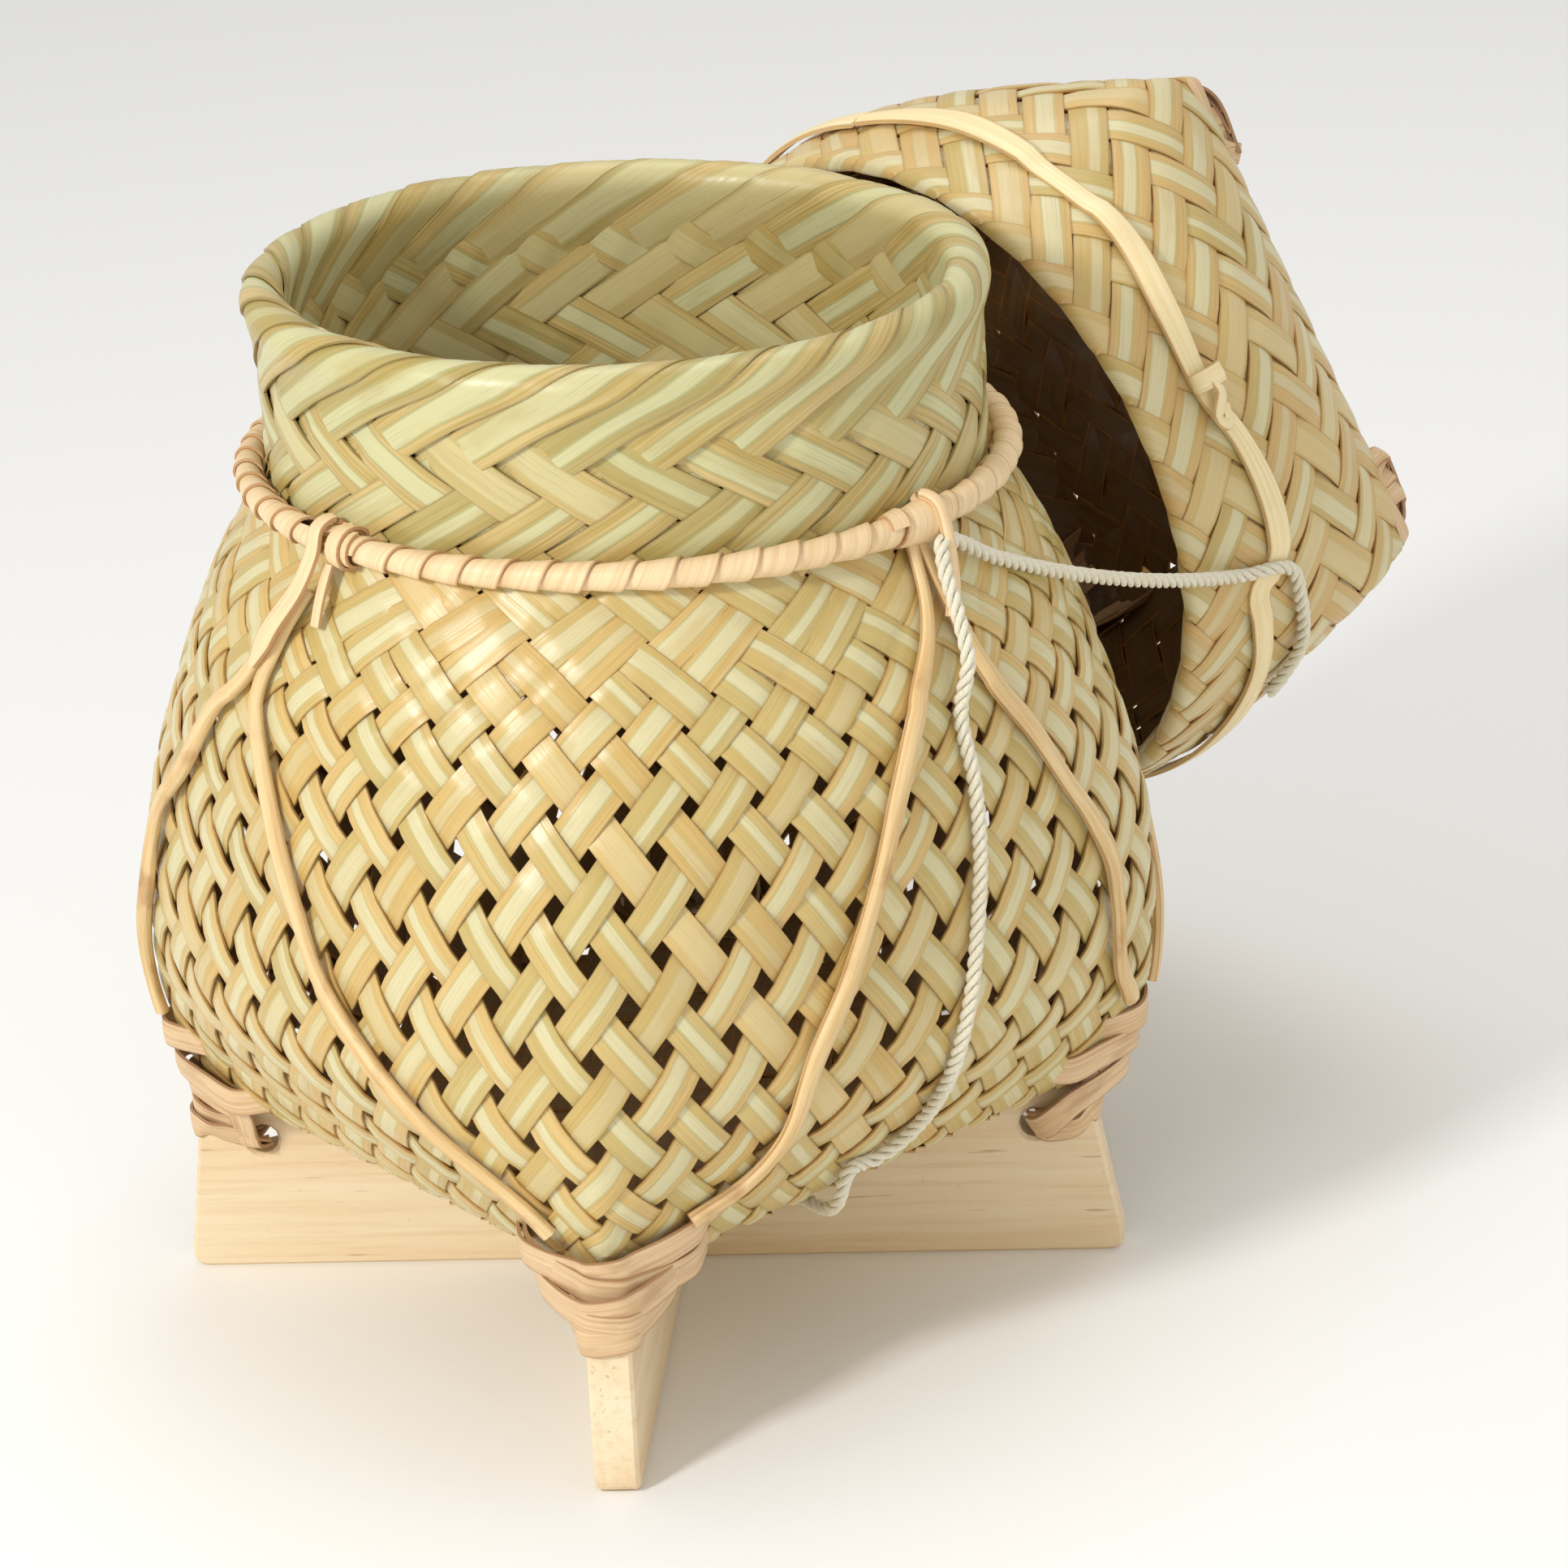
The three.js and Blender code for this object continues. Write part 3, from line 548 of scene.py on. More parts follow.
body_bamboo = bamboo(
    "plaited bamboo", srgb(216, 209, 166), srgb(176, 166, 100), srgb(216, 187, 124),
    srgb(200, 166, 94), srgb(136, 102, 50),
    rough=0.3,
    # painted shade for the undersides of the body's strips
    inside=srgb(104, 70, 34),
)
neck_bamboo = bamboo(
    "plaited neck", srgb(206, 204, 156), srgb(154, 150, 90), srgb(206, 182, 122),
    srgb(176, 150, 78), srgb(104, 86, 40),
    rough=0.34,
)
lid_bamboo = bamboo(
    "plaited lid", srgb(218, 210, 168), srgb(178, 166, 96), srgb(214, 183, 118),
    srgb(202, 166, 104), srgb(140, 104, 56),
    # painted shade for the undersides of the lid's strips
    inside=srgb(84, 50, 20),
)
cane_pale = cane("cane", srgb(242, 216, 172), srgb(230, 196, 148), srgb(178, 128, 78), stain=0.25)
cane_stay = cane("stay cane", srgb(232, 204, 152), srgb(214, 176, 116), srgb(164, 106, 54), stain=0.6)
cane_pink = cane("lashing cane", srgb(226, 196, 154), srgb(206, 168, 122), srgb(150, 104, 66), stain=0.4)
hoop_cane = cane("hoop cane", srgb(246, 230, 184), srgb(238, 212, 156), srgb(196, 156, 98), stain=0.15)
string_cotton = cotton("cotton string")


# --- the carrying string
STRING_DIAMETER = 2.5
STRING_LIFT = 0.5 + STRING_DIAMETER / 2
STRING_OVER_STAYS = STRING_LIFT + 2.8 + 0.3 + 0.4
STRING_UNDER_FLOOR = [
    (10.2, -11, 26.4), (14, -17.5, 26.6), (20, -27, 27.2), (26.5, -37, 27.4), (32.2, -44.7, 29.4),
]
STRING_UP_WALL = [
    (-53, 0.07), (-48, 0.068), (-44, 0.085), (-42, 0.13), (-42.6, 0.2), (-42.9, 0.26), (-41.7, 0.34),
    (-40.2, 0.43), (-39.6, 0.54), (-40.2, 0.655), (-41.3, 0.755),
]
STRING_OVER_TIE = [(-40.6, 0.815), (-39.6, 0.87), (-38.4, 0.925), (-36.6, 0.955)]
STRING_MEETS_LID = (74, 9.6)
STRING_ON_LID = [(77, 19.6), (82.5, 21.4), (91, 22.6), (98.5, 20.8), (101.5, 19.4)]
STRING_SAG = 3


def string_route():
    wall = [on_basket(d, s, STRING_LIFT)[0] for d, s in STRING_UP_WALL]
    tie = [on_basket(d, s, STRING_OVER_STAYS)[0] for d, s in STRING_OVER_TIE]
    lid_end = on_lid(*STRING_MEETS_LID, STRING_LIFT)[0]
    share = np.linspace(0, 1, 7)[1:-1, None]
    span = mix(tie[-1], lid_end, share) - np.array((0, 0, 4 * STRING_SAG)) * share * (1 - share)
    lid = [on_lid(a, h, STRING_LIFT)[0] for a, h in STRING_ON_LID]
    return tie[-1], lid_end, [*STRING_UNDER_FLOOR, *wall, *tie, *span, lid_end, *lid]


def carrying_string():
    """Three plies laid round each other, so that the string shows its twist."""
    tie_turn, lid_end, points = string_route()
    path = spline(points, 0.8)
    tangent = unit(np.gradient(path, axis=0))
    length = travelled(path)
    normal = unit(np.cross(tangent, (0.3, 0.9, 0.2)))
    side = np.cross(tangent, normal)
    build = Build()
    plies, lay = 3, 6.5
    ply = STRING_DIAMETER * 0.3
    for k in range(plies):
        turn = 2 * np.pi * (length / lay + k / plies)
        swing = STRING_DIAMETER / 2 - ply * 0.72
        centre = path + swing * (normal * np.cos(turn)[:, None] + side * np.sin(turn)[:, None])
        rod(build, centre, path - centre, ply * 1.44, ply * 1.44, 8, tone=k / plies)
    piece = build.piece("carrying_string", string_cotton, None, "cotton_string", 80)
    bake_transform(piece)
    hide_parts("carrying_string_lower", "carrying_string_span", "carrying_string_lid")


carrying_string()


# --- plaiting
def quarter_table(n):
    """Share of the way round a quarter of a rounded square, against the angle."""
    angle = np.linspace(0, np.pi / 2, 181)
    reach = squared(angle, n)
    x, y = reach * np.cos(angle), reach * np.sin(angle)
    way = np.concatenate([[0], np.cumsum(np.hypot(np.diff(x), np.diff(y)))])
    return angle, way / way[-1], way[-1]


def angles_round(u, n):
    """Angles of places u round a rounded square, with u counted from 0 to 1 in equal lengths."""
    angle, way, _ = quarter_table(n)
    quarter = np.floor(u * 4)
    return np.interp(u * 4 - quarter, way, angle) + quarter * np.pi / 2


class Wall:
    """A turned wall given by a profile of (corner reach, level), plaited by two families of strips."""

    def __init__(self, place, squareness, profile, per_family, slope, first=0.0):
        self.place, self.squareness = place, squareness
        self.profile = spline(np.column_stack([profile, np.zeros(len(profile))]), 0.5)[:, :2]
        step = np.linalg.norm(np.diff(self.profile, axis=0), axis=1)
        self.way = np.concatenate([[0], np.cumsum(step)])
        self.per_family = per_family
        around = [4 * quarter_table(squareness(z))[2] * r for r, z in self.profile]
        self.pitch = np.array(around) / per_family
        self.slope = np.radians(slope(self.way, self.profile))
        rise = self.pitch * np.tan(self.slope)
        self.turns = first + np.concatenate([[0], np.cumsum(step / ((rise[1:] + rise[:-1]) / 2))])

    def strip_ways(self, lean, samples):
        """Where one family's strips run: lean is 1 for strips that climb anticlockwise."""
        turns = np.linspace(self.turns[0], self.turns[-1], samples)
        starts = (np.arange(self.per_family) + 0.5)[:, None]
        way = np.interp(turns, self.turns, self.way)
        return turns, way, (starts + lean * turns[None, :]) / self.per_family

    def spread(self, u, way, lean, width):
        """Points and facings across strips of a width, all of them on the wall's own surface."""
        slope = np.interp(way, self.way, self.slope)
        around = np.interp(way, self.way, self.pitch) * self.per_family
        sheets = []
        for share in TOP / 2:
            up = way - lean * share * width * np.cos(slope)
            turned = u + share * width * np.sin(slope) / around
            sheets.append(self.points(turned, np.clip(up, self.way[0], self.way[-1])))
        points, facings = zip(*sheets)
        return np.stack(points, axis=2), np.stack(facings, axis=2)

    def points(self, u, way):
        def sheet(du, dw):
            radius = np.interp(way + dw, self.way, self.profile[:, 0])
            level = np.interp(way + dw, self.way, self.profile[:, 1])
            flat = np.empty_like(u)
            for k, z in enumerate(level):
                flat[:, k] = angles_round(u[:, k] + du, self.squareness(z))
            return self.place(flat, radius[None, :], level[None, :])

        small = 0.6
        around = sheet(0.002, 0) - sheet(-0.002, 0)
        up = sheet(0, small) - sheet(0, -small)
        return sheet(0, 0), unit(np.cross(around, up))

    def spacing(self, way):
        pitch = np.interp(way, self.way, self.pitch)
        return pitch * np.sin(np.interp(way, self.way, self.slope))


def over_under(turns, span=2, shift=-0.25, sharp=1.7):
    """1 where the anticlockwise strips lie on top, -1 where beneath, span strips at a time."""
    return np.clip(sharp * np.cos(2 * np.pi / span * (turns + shift)), -1, 1)


HALF_THICK = 0.22  # of a plaited strip
CROWN = 0.22  # how much higher a plaited strip's middle is than its edges


def weave(
    wall, name, material, slot, body, width,
    step=0.42, samples=90, lift=None, tilt=None, most=1.03, hidden=None,
):
    """Both families of a wall, a piece each. hidden is the stretch where the second stops short."""
    pieces = []
    for lean, family in ((1, "rising_right"), (-1, "rising_left")):
        build = Build()
        turns, way, u = wall.strip_ways(lean, samples)
        fit = np.minimum(width(way) if callable(width) else width, most * wall.spacing(way))
        paths, normals = wall.points(u, way)
        points, facings = wall.spread(u, way, lean, fit)
        slant = tilt(way, lean) if tilt else 0.0
        for index, (path, normal) in enumerate(zip(paths, normals)):
            wave, push = (over_under(turns), 0.0) if lift is None else lift(turns, way, lean, index % 2)
            side = np.cross(unit(np.gradient(path, axis=0)), normal)
            drift = push + 0.22 * np.sin(turns * rng.uniform(0.6, 1.4) + rng.uniform(0, 6.3))
            height = lean * step * wave + rng.uniform(-0.05, 0.05)
            lip = slant + rng.uniform(-0.07, 0.07) + 0 * way
            high = height[:, None] + CROWN * (1 - TOP**2) + lip[:, None] * TOP
            middle = path[:, None]
            flat = middle + (points[index] - middle) * rng.uniform(0.95, 1.04)
            flat = flat + (side * drift[:, None])[:, None]
            upper = flat + facings[index] * (high + HALF_THICK)[..., None]
            under = flat + facings[index] * (high - HALF_THICK)[..., None]
            rings = np.concatenate([upper, under[:, UNDER_IN_TOP]], axis=1)
            far = strip_v(path)
            across = np.concatenate([TOP, UNDER]) / 2 + 0.5
            back = np.repeat((0.0, 1.0), (TOP.size, UNDER.size))
            tone = rng.random()
            for part in stretches(way, hidden if lean < 0 else None):
                build.tube(rings[part], across, far[part], tone, back=back)
        pieces.append(build.piece(f"{name}_{family}", material, body, slot))
    return pieces


def stretches(way, hidden):
    """The steps of a path, in one stretch or in two either side of what is hidden."""
    if hidden is None:
        return [slice(None)]
    first, last = (int(np.searchsorted(way, end)) for end in hidden)
    return [slice(0, first), slice(last, None)]


def body_slope(way, profile):
    """Angle of the body's strips from the level, in degrees, at each point of a profile."""
    levels = [31, 44, 60, 85, 102, 116, 130, 142]
    return np.interp(profile[:, 1], levels, [45, 48, 53, 56, 55, 49, 41, 37])


BODY_STRIPS = 44  # in each family
STRIP_WIDTH = 6.0
PAIRS_LEVEL = 124.5  # above it, on the shoulder, the strips run in pairs
MID_WALL = 0.6  # from the basket's outside in to the middle of the plaiting


def body_weave():
    levels = np.concatenate([[FLOOR + 3.5, 38, 43], np.linspace(50, 137, 16), [141.2]])
    side = [(float(basket_reach(z)) - MID_WALL, z) for z in levels]
    fold = [(FLOOR_REACH - 1.4, FLOOR + 0.8), (FLOOR_REACH - 0.3, FLOOR + 1.9)]
    wall = Wall(
        basket_place,
        lambda z: float(along(SQUARENESS, share_of(z))),
        fold + side,
        BODY_STRIPS,
        body_slope,
        first=-0.5,
    )
    paired = float(np.interp(PAIRS_LEVEL, wall.profile[:, 1], wall.turns))
    paired = 2 * round((paired + 0.75) / 2) - 0.75

    def lift(turns, way, lean, odd):
        """Plain weave on the belly, and pairs of strips over pairs on the shoulder."""
        ahead = 0.25 if odd == (lean > 0) else -0.25
        pairs = over_under(turns, 2, ahead)
        push = 0.4 * smooth(turns, paired, paired + 1) * (-1 if odd else 1)
        return np.where(turns > paired, pairs, over_under(turns, 1, 0.5)), push

    pieces = weave(
        wall, "body_strips", body_bamboo, "plaited_bamboo", "basket", STRIP_WIDTH, samples=130, lift=lift
    )
    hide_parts("basket_body")


MAT_EDGE = 1.2  # from a mat's edge in to the strips' ends


def mat(corner_reach, per_side, level, width, face, place=np.asarray):
    """Strips both ways over a square with its corners on the axes, twilled. place puts them in the row."""
    build = Build()
    gap = corner_reach / per_side
    for axis in (0, 1):
        for k in range(-per_side, per_side):
            offset = (k + 0.5) * gap
            reach = corner_reach - MAT_EDGE - abs(offset) - width / 2
            if reach < 1.5:
                continue
            travel = np.linspace(-reach, reach, max(6, int(reach * 1.6)))
            turns = (travel / gap + (k if axis else -k)) / 2
            path = np.zeros((len(travel), 3))
            path[:, axis] = travel
            path[:, 1 - axis] = offset
            path[:, 2] = level + (0.38 if axis else -0.38) * over_under(turns)
            strip(build, place(path), np.tile(face, (len(travel), 1)), width, crown=0.1)
    return build


def floor_mat():
    build = mat(FLOOR_REACH, 13, FLOOR + 1.0, STRIP_WIDTH, (0.0, 0.0, -1.0))
    build.piece("floor_strips", body_bamboo, "basket", "plaited_bamboo")


NECK_RIBBONS = 26
RIBBON_WIDTH = 7.0
CREST_LEVEL = 171.2
TOP_BAND = 157.5  # above it, and for a way down the inside, the strips rising to the right lie on top


def neck_profile():
    outside = [(NECK_RADIUS - MID_WALL + 0.1, z) for z in (139.6, 144, 149, 154, 159, 163)]
    middle, half = NECK_RADIUS - 1.7, 2.6
    turn = np.radians(np.arange(-15, 200, 18))
    crest = [(middle + half * math.cos(a), CREST_LEVEL - half + half * math.sin(a)) for a in turn]
    inside = [(NECK_RADIUS - 4.0, 163), (NECK_RADIUS - 3.4, 158)]
    inside += [(NECK_RADIUS - 3.0, z) for z in (152, 146, 140, 134, LINING_BOTTOM + 1)]
    return outside + crest + inside


def neck_weave():
    profile = neck_profile()
    wall = Wall(
        basket_place,
        lambda z: 2.0,
        profile,
        NECK_RIBBONS,
        lambda way, p: 33.0 - 6.0 * smooth(p[:, 1], 162, 170),
        first=-0.45,
    )
    crest = wall.way[np.argmax(wall.profile[:, 1])]

    def lift(turns, way, lean, odd):
        """Twill on the neck, but the rim's strips stay on top over the crest."""
        band = smooth(way, crest - (CREST_LEVEL - TOP_BAND) - 3, crest - (CREST_LEVEL - TOP_BAND))
        band = band * (1 - smooth(way, crest + 11, crest + 15))
        return mix(over_under(turns), 1.0, band), 0.0

    def width(way):
        near = smooth(np.abs(way - crest), 18, 6)
        return RIBBON_WIDTH + 1.1 * near

    def tilt(way, lean):
        near = smooth(np.abs(way - crest), 17, 8)
        return 0.42 * near if lean > 0 else 0 * near

    pieces = weave(
        wall, "neck_strips", neck_bamboo, "plaited_neck", "basket", width, 0.4, 150, lift, tilt, most=1.3,
        hidden=(crest - 7, crest + 8),
    )
    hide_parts("neck_lining")


LID_STRIPS = 38
LID_STRIP_WIDTH = 6.5
LID_TOP_STRIP_WIDTH = 5.8


def lid_weave():
    inside = [(LID_MOUTH - 2.0, 9), (LID_MOUTH - 2.3, 4.5), (LID_MOUTH - 2.0, 1.4), (LID_MOUTH - 1.0, 0.3)]
    profile = inside + [(float(lid_reach(z)) - 0.6, z) for z in np.linspace(1.4, LID_HEIGHT - 3, 12)]
    fold = [(LID_TOP - 0.6, LID_HEIGHT - 0.8), (LID_TOP - 3.5, LID_HEIGHT - 0.2)]
    wall = Wall(
        lid_place,
        lambda z: float(along(LID_SQUARENESS, z / LID_HEIGHT)),
        profile + fold,
        LID_STRIPS,
        lambda way, p: np.interp(p[:, 1], [0, 20, 40, 57], [40, 43, 44, 45]),
        first=-0.75,
    )
    pieces = weave(wall, "lid_strips", lid_bamboo, "plaited_lid", "lid", LID_STRIP_WIDTH, samples=80)
    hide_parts("lid_body")
    build = mat(LID_TOP, 10, LID_HEIGHT - 0.6, LID_TOP_STRIP_WIDTH, LID_AXIS, lid_to_row)
    build.piece("lid_top_strips", lid_bamboo, "lid", "plaited_lid")


body_weave()
floor_mat()
neck_weave()
lid_weave()


# --- ring, ties and stays
def ring_frame(degrees):
    """Middle of the ring at an angle, with its outward and upward directions."""
    angle = np.radians(np.asarray(degrees, float))
    x, y = RING_RADIUS * np.cos(angle), RING_RADIUS * np.sin(angle)
    middle = np.stack([x + NECK_SHIFT, y, RING_LEVEL - NECK_TILT * x], axis=-1)
    out = np.stack([np.cos(angle), np.sin(angle), 0 * angle], axis=-1)
    up = np.broadcast_to((0.0, 0.0, 1.0), out.shape)
    return middle, out, up


def wound(build, start, end, radius, pitch, width, thick=0.4, lip=0.22, phase=0.0, per_turn=20):
    """A strip wound round the ring between two angles, its far edge lifted over the next turn."""
    length = RING_RADIUS * math.radians(end - start)
    turns = length / pitch
    angle = np.linspace(0, turns, max(8, int(turns * per_turn)))
    across = np.concatenate([TOP, UNDER])
    upper = np.arange(across.size) < TOP.size
    along_ring = angle[:, None] * pitch + across[None, :] * width / 2
    degrees = start + np.degrees(along_ring / RING_RADIUS)
    middle, out, up = ring_frame(degrees)
    turn = 2 * np.pi * angle[:, None] + phase
    high = radius + np.where(upper, thick / 2, -thick / 2)[None, :] + lip * across[None, :]
    high = high + 0.06 * np.sin(angle[:, None] * 2.4 + across)
    rings = middle + high[..., None] * (out * np.cos(turn)[..., None] + up * np.sin(turn)[..., None])
    build.tube(rings, across / 2 + 0.5, angle * 1.3 + rng.uniform(0, 40), rng.random())


TIES = {"front_right": -38, "back_right": 47, "back_left": 137, "front_left": -132.5}
STRAP_ENDS = {  # where each tie's strap ends, over the tops of its stays
    "front_right": (-39.5, 0.87),
    "back_right": (41.5, 0.82),
    "back_left": (140.5, 0.87),
    "front_left": (-138.6, 0.82),
}


RING_OPENING = 7  # degrees left unwound at the front left tie


def neck_ring():
    build = Build()
    start = TIES["front_left"] + RING_OPENING / 2
    wound(build, start, start + 360 - RING_OPENING, RING_WRAP - 0.1, 6.2, 6.5, lip=0.26)
    ring = build.piece("ring_winding", cane_pale, "basket", "cane")
    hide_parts("neck_ring_wrap")


def ring_tie(name):
    """Turns of flat cane round the ring, and a strap that comes over the ring and down over the stays."""
    degrees = TIES[name]
    bow = "right" in name
    build = Build()
    if bow:
        wound(build, degrees - 3.0, degrees + 1.6, 2.9, 5.0, 7.4, 0.5, 0.55, phase=2.6)
        wound(build, degrees - 4.8, degrees - 3.0, 2.7, 2.4, 3.0, 0.5, 0.2, phase=0.4)
    else:
        wound(build, degrees + 1.2, degrees + 5.0, 2.7, 1.9, 2.6, 0.5, 0.12, phase=1.0)
        wound(build, degrees + 2.0, degrees + 4.2, 3.2, 1.9, 2.8, 0.5, 0.12, phase=2.0)
    low, low_face = on_basket(*STRAP_ENDS[name], 3.7)
    middle, out, up = ring_frame(degrees + (2.6 if bow else 0))
    points = [
        middle - out * 1.6 + up * 2.6,
        middle - out * 0.2 + up * 3.8,
        middle + out * 2.6 + up * 3.0,
        middle + out * 4.0 - up * 0.6,
        mix(middle + out * 4.3 - up * 3.2, low, 0.2) + low_face * 0.5,
        mix(middle + out * 4.3 - up * 3.2, low, 0.6) + low_face * 0.8,
        low,
    ]
    path = spline(points, 0.7)
    facing = np.tile(out + up * 0.3, (len(path), 1))
    share = np.linspace(0, 1, len(path))
    if bow:
        rod(build, path, facing, 2.2, 1.9, 10)
    else:
        strip(build, path, facing, np.interp(share, [0, 0.5, 0.85, 1], [2.6, 2.8, 3.4, 1.3]), 0.7, 0.35)
        start, start_out, start_up = ring_frame(degrees + 1.4)
        steps = ((2.2, 2.6), (3.2, 4.5), (4.6, 7.5), (6.0, 11.5))
        tail = spline([start + start_out * far - start_up * down for far, down in steps], 0.7)
        strip(build, tail, np.tile(start_out, (len(tail), 1)), 1.9, 0.5, 0.2)
    tie = build.piece(f"tie_{name}", cane_pale, "basket", "cane")
    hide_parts(f"ring_tie_{name}")


FRONT_LEFT_TO_LEFT = [
    (-136.4, 0.925), (-138.7, 0.86), (-142.6, 0.79), (-147.5, 0.75), (-157.5, 0.62), (-167, 0.515),
    (-172, 0.37), (-175.5, 0.285), (-178, 0.19), (-178.6, 0.15),
]
FRONT_LEFT_TO_FRONT = [
    (-134.8, 0.925), (-136.8, 0.86), (-138.2, 0.79), (-136, 0.7), (-134.5, 0.645), (-131.5, 0.53),
    (-127.5, 0.42), (-119.5, 0.325), (-110.5, 0.235), (-103, 0.17), (-99, 0.13), (-96.2, 0.095),
]
FRONT_RIGHT_TO_FRONT = [
    (-39.2, 0.965), (-40.6, 0.91), (-43.2, 0.855), (-47.5, 0.785), (-51.5, 0.685), (-55.5, 0.555),
    (-60, 0.425), (-65, 0.325), (-69, 0.2), (-73.5, 0.14), (-80.5, 0.1),
]
FRONT_RIGHT_TO_RIGHT = [
    (-37.4, 0.965), (-37.6, 0.91), (-36.9, 0.855), (-35, 0.785), (-28.5, 0.685), (-23, 0.59), (-18, 0.51),
    (-14.5, 0.43), (-13.8, 0.355), (-12.5, 0.26), (-7.5, 0.19), (-6, 0.17),
]
STAYS = {
    "front_left_stay_left": (FRONT_LEFT_TO_LEFT, 0),
    "front_left_stay_front": (FRONT_LEFT_TO_FRONT, 0),
    "front_right_stay_front": (FRONT_RIGHT_TO_FRONT, 0),
    "front_right_stay_right": (FRONT_RIGHT_TO_RIGHT, 0),
    "back_right_stay_right": (FRONT_LEFT_TO_LEFT, 180),
    "back_right_stay_back": (FRONT_LEFT_TO_FRONT, 180),
    "back_left_stay_back": (FRONT_RIGHT_TO_FRONT, 180),
    "back_left_stay_left": (FRONT_RIGHT_TO_RIGHT, 180),
}


def stay(name, rows, turned):
    """An oval cane, thin at the top and a little uneven along its length."""
    route = spline([(degrees + turned, share * 100, 0) for degrees, share in rows], 0.7)
    path, normal = on_basket(route[:, 0], route[:, 1] / 100, 1.7)
    travel = np.linspace(0, 1, len(path))
    wide = 3.1 + 0.25 * np.sin(travel * 17 + len(name)) - 0.9 * smooth(travel, 0.2, 0.0)
    build = Build()
    rod(build, path, normal, wide, 0.78 * wide, 10)
    piece = build.piece(f"{name}_cane", cane_stay, "basket", "cane")
    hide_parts(name)


neck_ring()
for tie_name in TIES:
    ring_tie(tie_name)
for stay_name, (stay_rows, stay_turn) in STAYS.items():
    stay(stay_name, stay_rows, stay_turn)


# --- corner lashings
BOARD_REACH = {"right": 76, "back": 79, "left": 80, "front": 83}
CORNER_ANGLE = {"right": 0, "back": 90, "left": 180, "front": 270}
HOLE_FROM_END = 14
HOLE_LEVEL = FOOT - 6.7


def turned_round(points, degrees):
    angle = math.radians(degrees)
    cos_a, sin_a = math.cos(angle), math.sin(angle)
    x, y, z = np.asarray(points, float).T
    return np.column_stack([x * cos_a - y * sin_a, x * sin_a + y * cos_a, z])


BOARD_INSET = {"right": 5, "back": 4, "left": 4, "front": 3}
BAND_WIDTH = 4.7
# Bands round a corner: height at its tip, height at the side, and how far out to the side they start.
SMILE_BANDS = (
    (25.6, 26.3, 5.4), (27.8, 28.7, 8.2), (30.2, 31.3, 11.0), (32.6, 33.9, 12.6), (35.2, 36.6, 13.4),
)
CROSSED_BANDS = (
    (43.0, 41.5, 9.0), (38.3, 35.0, 10.4), (34.0, 30.5, 8.4), (29.8, 27.0, 5.6), (26.4, 24.0, 4.6),
)


def corner_tip(name, level):
    """How far out a band lies at a corner's tip: on the board's end below, on the plaited wall above."""
    on_board = BOARD_REACH[name] - BOARD_INSET[name] * level / FOOT + 0.7
    on_wall = float(basket_reach(level)) + 1.0
    if level < FOOT:
        return on_board
    return max(on_wall, mix(on_board, on_wall, min(1.0, (level - FOOT) / 6)))


def corner_bands(name):
    """Routes of the bands at a corner, seen with the corner pointing along +X."""
    hole = BOARD_REACH[name] - HOLE_FROM_END
    bands = []
    for k, (low, high, reach) in enumerate(SMILE_BANDS if name == "front" else CROSSED_BANDS):
        tip = corner_tip(name, low)
        half = [
            (tip, 2.6, low),
            (tip - 1.4, 4.4, mix(low, high, 0.16)),
            (mix(tip, 68, 0.5), mix(4.4, reach, 0.55), mix(low, high, 0.5)),
            (68.5, reach, high),
            (63.0, reach + 1.2, high + 1.0),
        ]
        if name != "front" and high < 35:
            half[-1] = (hole + 1.6, min(reach, 5.5), mix(high, HOLE_LEVEL, 0.8))
            half.append((hole, 3.2, HOLE_LEVEL))
        tilt = 0.9 if k % 2 else -0.9
        far = [(x, -y, z + tilt * y / 8) for x, y, z in reversed(half)]
        near = [(x, y, z - tilt * y / 8) for x, y, z in half]
        bands.append(far + near)
    return bands


def corner_lashing(name):
    build = Build()
    for k, points in enumerate(corner_bands(name)):
        path = spline(points, 0.7)
        inward = path - np.array((64.0, 0.0, 0.0))
        inward[:, 2] = -1.5
        path = path + unit(inward) * (0.25 * (k % 3))
        turned = turned_round(path, CORNER_ANGLE[name])
        facing = turned_round(unit(inward), CORNER_ANGLE[name])
        strip(build, turned, facing, BAND_WIDTH, 0.5, 0.2, tilt=0.1)
    piece = build.piece(f"lashing_{name}", cane_pink, "basket", "lashing_cane")
    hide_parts(f"corner_lashing_{name}")


for corner in CORNER_ANGLE:
    corner_lashing(corner)


# --- lid hoop, knot and lashings
HOOP = [  # degrees round the lid, and distance from its mouth
    (326.5, 11.5), (345.5, 14.5), (355, 14.5), (363.5, 14.5), (378, 16), (392, 14), (405, 13),
    (414, 16), (423, 18), (429.5, 18.5), (436, 17.5), (438.5, 14), (454.5, 15), (480, 15), (520, 14),
    (560, 15), (610, 14), (650, 13), (686.5, 11.5),
]


def lid_hoop():
    build = Build()
    route = spline([(d, z, 0) for d, z in HOOP], 1.4)
    under = np.ones(len(route))
    for middle, half in ((366.5, 4.5), (438, 2.5), (520, 4), (600, 4)):
        under = np.minimum(under, smooth(np.abs(route[:, 0] - middle), half, half + 3))
    path, normal = on_lid(route[:, 0], route[:, 1], 0.2 + 0.95 * under)
    width = 3.6 + 1.2 * np.sin(np.radians((route[:, 0] - 366.5) * 4.2)) ** 2
    strip(build, path, normal, width, 0.7, 0.3)
    piece = build.piece("hoop_strip", hoop_cane, "lid", "cane")
    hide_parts("lid_hoop")


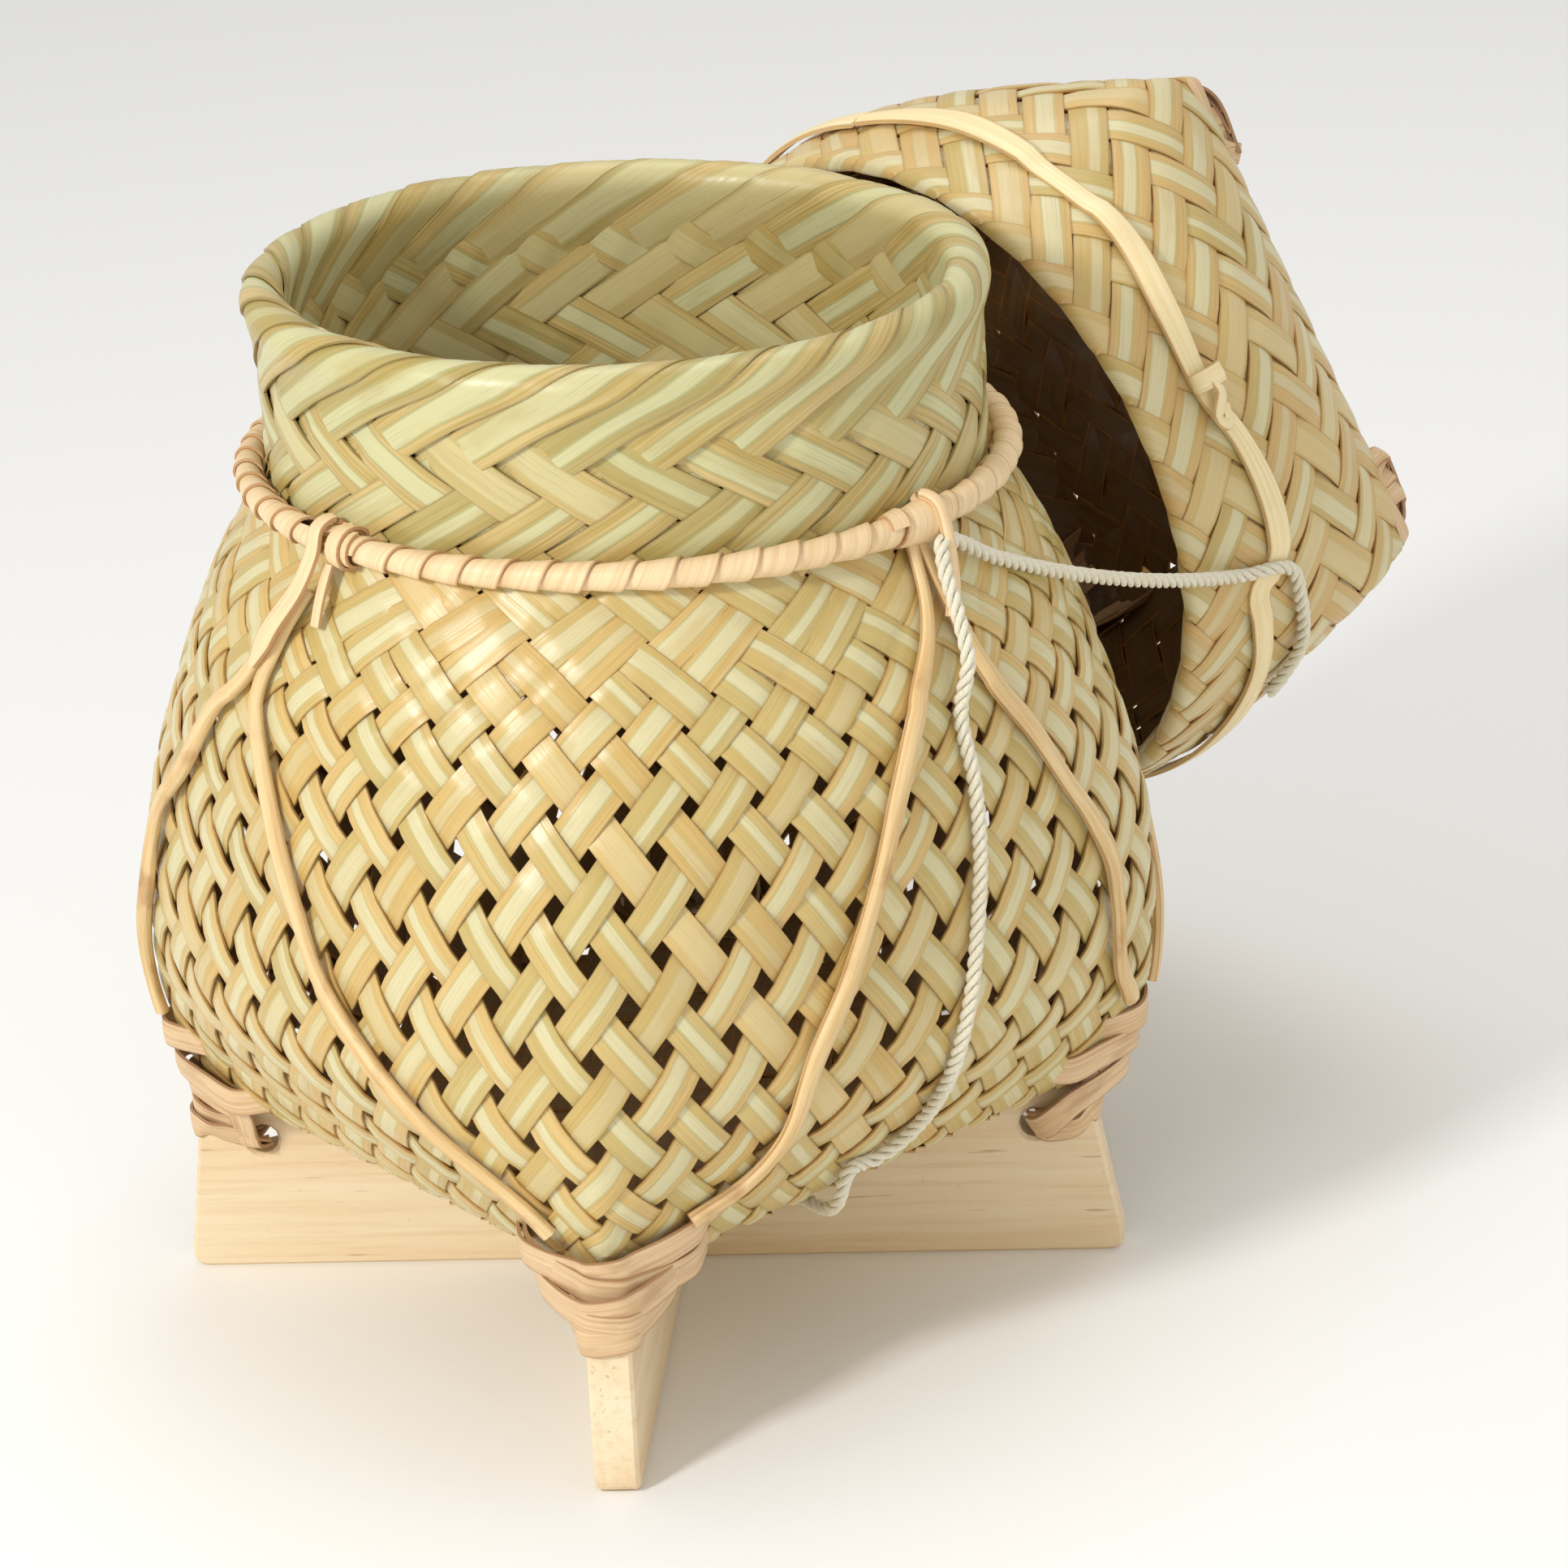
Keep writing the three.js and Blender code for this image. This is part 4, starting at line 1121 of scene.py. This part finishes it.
def hoop_knot():
    build = Build()
    middle, normal = on_lid(43.5, 14.0, 2.0)
    ahead = unit(on_lid(46.0, 14.0, 2.0)[0] - middle)
    side = np.cross(normal, ahead)
    turn = np.linspace(0, 2 * np.pi, 25)[:-1, None]
    loop = middle + side * 3.0 * np.cos(turn) + normal * 1.5 * np.sin(turn)
    strip(build, loop, loop - middle, 3.4, 0.5, 0.15, closed=True)
    steps = ((0, 0, 1), (3, 0, 1.6), (6.5, -2.2, 1), (8, -0.4, 0.4), (5, 0.8, 0.2))
    tail = spline([middle + ahead * a + side * b + normal * c for a, b, c in steps], 0.6)
    strip(build, tail, np.tile(normal, (len(tail), 1)) + 0.4 * side, 2.4, 0.5, 0.2)
    piece = build.piece("hoop_knot_cane", hoop_cane, "lid", "cane")
    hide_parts("lid_hoop_knot")


def lid_lashing(index):
    """Flat turns over a corner of the lid's top, crossing on its edge."""
    build = Build()
    corner = np.array((LID_TOP, 0, LID_HEIGHT))
    for k, (side_way, down, inner) in enumerate(((9, 9, 12), (6.5, 6, 9), (9, 3.5, 6), (4, 11, 9))):
        lift = 0.9 + 0.45 * k
        points = [
            (-side_way - 1, side_way, 0.6 + lift * 0.6),
            (-inner / 2, 1, lift + 0.5),
            (-side_way, -side_way, 0.8 + lift * 0.6),
            (-side_way + 2.2, -side_way + 0.6, -down * 0.7),
            (lift + 0.6, 0, -down),
            (-side_way + 2.2, side_way - 0.6, -down * 0.8),
            (-side_way - 1, side_way, 0.5 + lift * 0.6),
        ]
        path = spline(corner + np.array(points), 0.8)
        facing = path - (corner + (-9, 0, -7))
        facing = lid_to_row(turned_round(facing, 90 * index)) - LID_PLACE
        strip(build, lid_to_row(turned_round(path, 90 * index)), facing, 3.6, 0.5, 0.2)
    piece = build.piece(f"lid_lashing_{index + 1}", cane_pink, "lid", "lashing_cane")
    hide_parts(f"lid_corner_lashing_{index + 1}")


lid_hoop()
hoop_knot()
for lid_corner in range(4):
    lid_lashing(lid_corner)


# --- CAD nodes that stay
def dress(node, material):
    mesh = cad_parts[node].data
    mesh.materials.clear()
    mesh.materials.append(material)


dress("foot_board_long", board_wood("long board", 0))
dress("foot_board_cross", board_wood("cross board", 1))
dress("string_knot", string_cotton)
dress("neck_ring_core", cane_stay)


# --- floor and light
def stage():
    bpy.ops.mesh.primitive_plane_add(size=6)
    floor = bpy.context.object
    floor.name = "floor"
    n = Nodes("studio floor")
    n.shader.inputs["Base Color"].default_value = (0.93, 0.93, 0.92, 1)
    n.shader.inputs["Roughness"].default_value = 0.6
    floor.data.materials.append(n.material)
    world = bpy.data.worlds.new("studio")
    bpy.context.scene.world = world
    world.use_nodes = True
    world.node_tree.nodes["Background"].inputs[0].default_value = (1.0, 0.99, 0.97, 1)
    world.node_tree.nodes["Background"].inputs[1].default_value = 0.62


def area_light(name, place, aim, size, power, color=(1, 1, 1)):
    data = bpy.data.lights.new(name, "AREA")
    data.size = size
    data.energy = power
    data.color = color
    light = bpy.data.objects.new(name, data)
    bpy.context.collection.objects.link(light)
    light.location = place
    light.rotation_euler = (Vector(aim) - Vector(place)).to_track_quat("-Z", "Y").to_euler()


stage()
area_light("key", (-0.55, -0.72, 0.66), (0, 0, 0.09), 0.16, 6.3, (1.0, 0.985, 0.96))
area_light("fill", (0.9, -0.9, 0.5), (0.02, 0, 0.08), 0.8, 1.6)
area_light("top", (0.1, 0.3, 1.2), (0.02, 0, 0.08), 0.7, 3.4)
bpy.context.scene.view_settings.view_transform = "Standard"

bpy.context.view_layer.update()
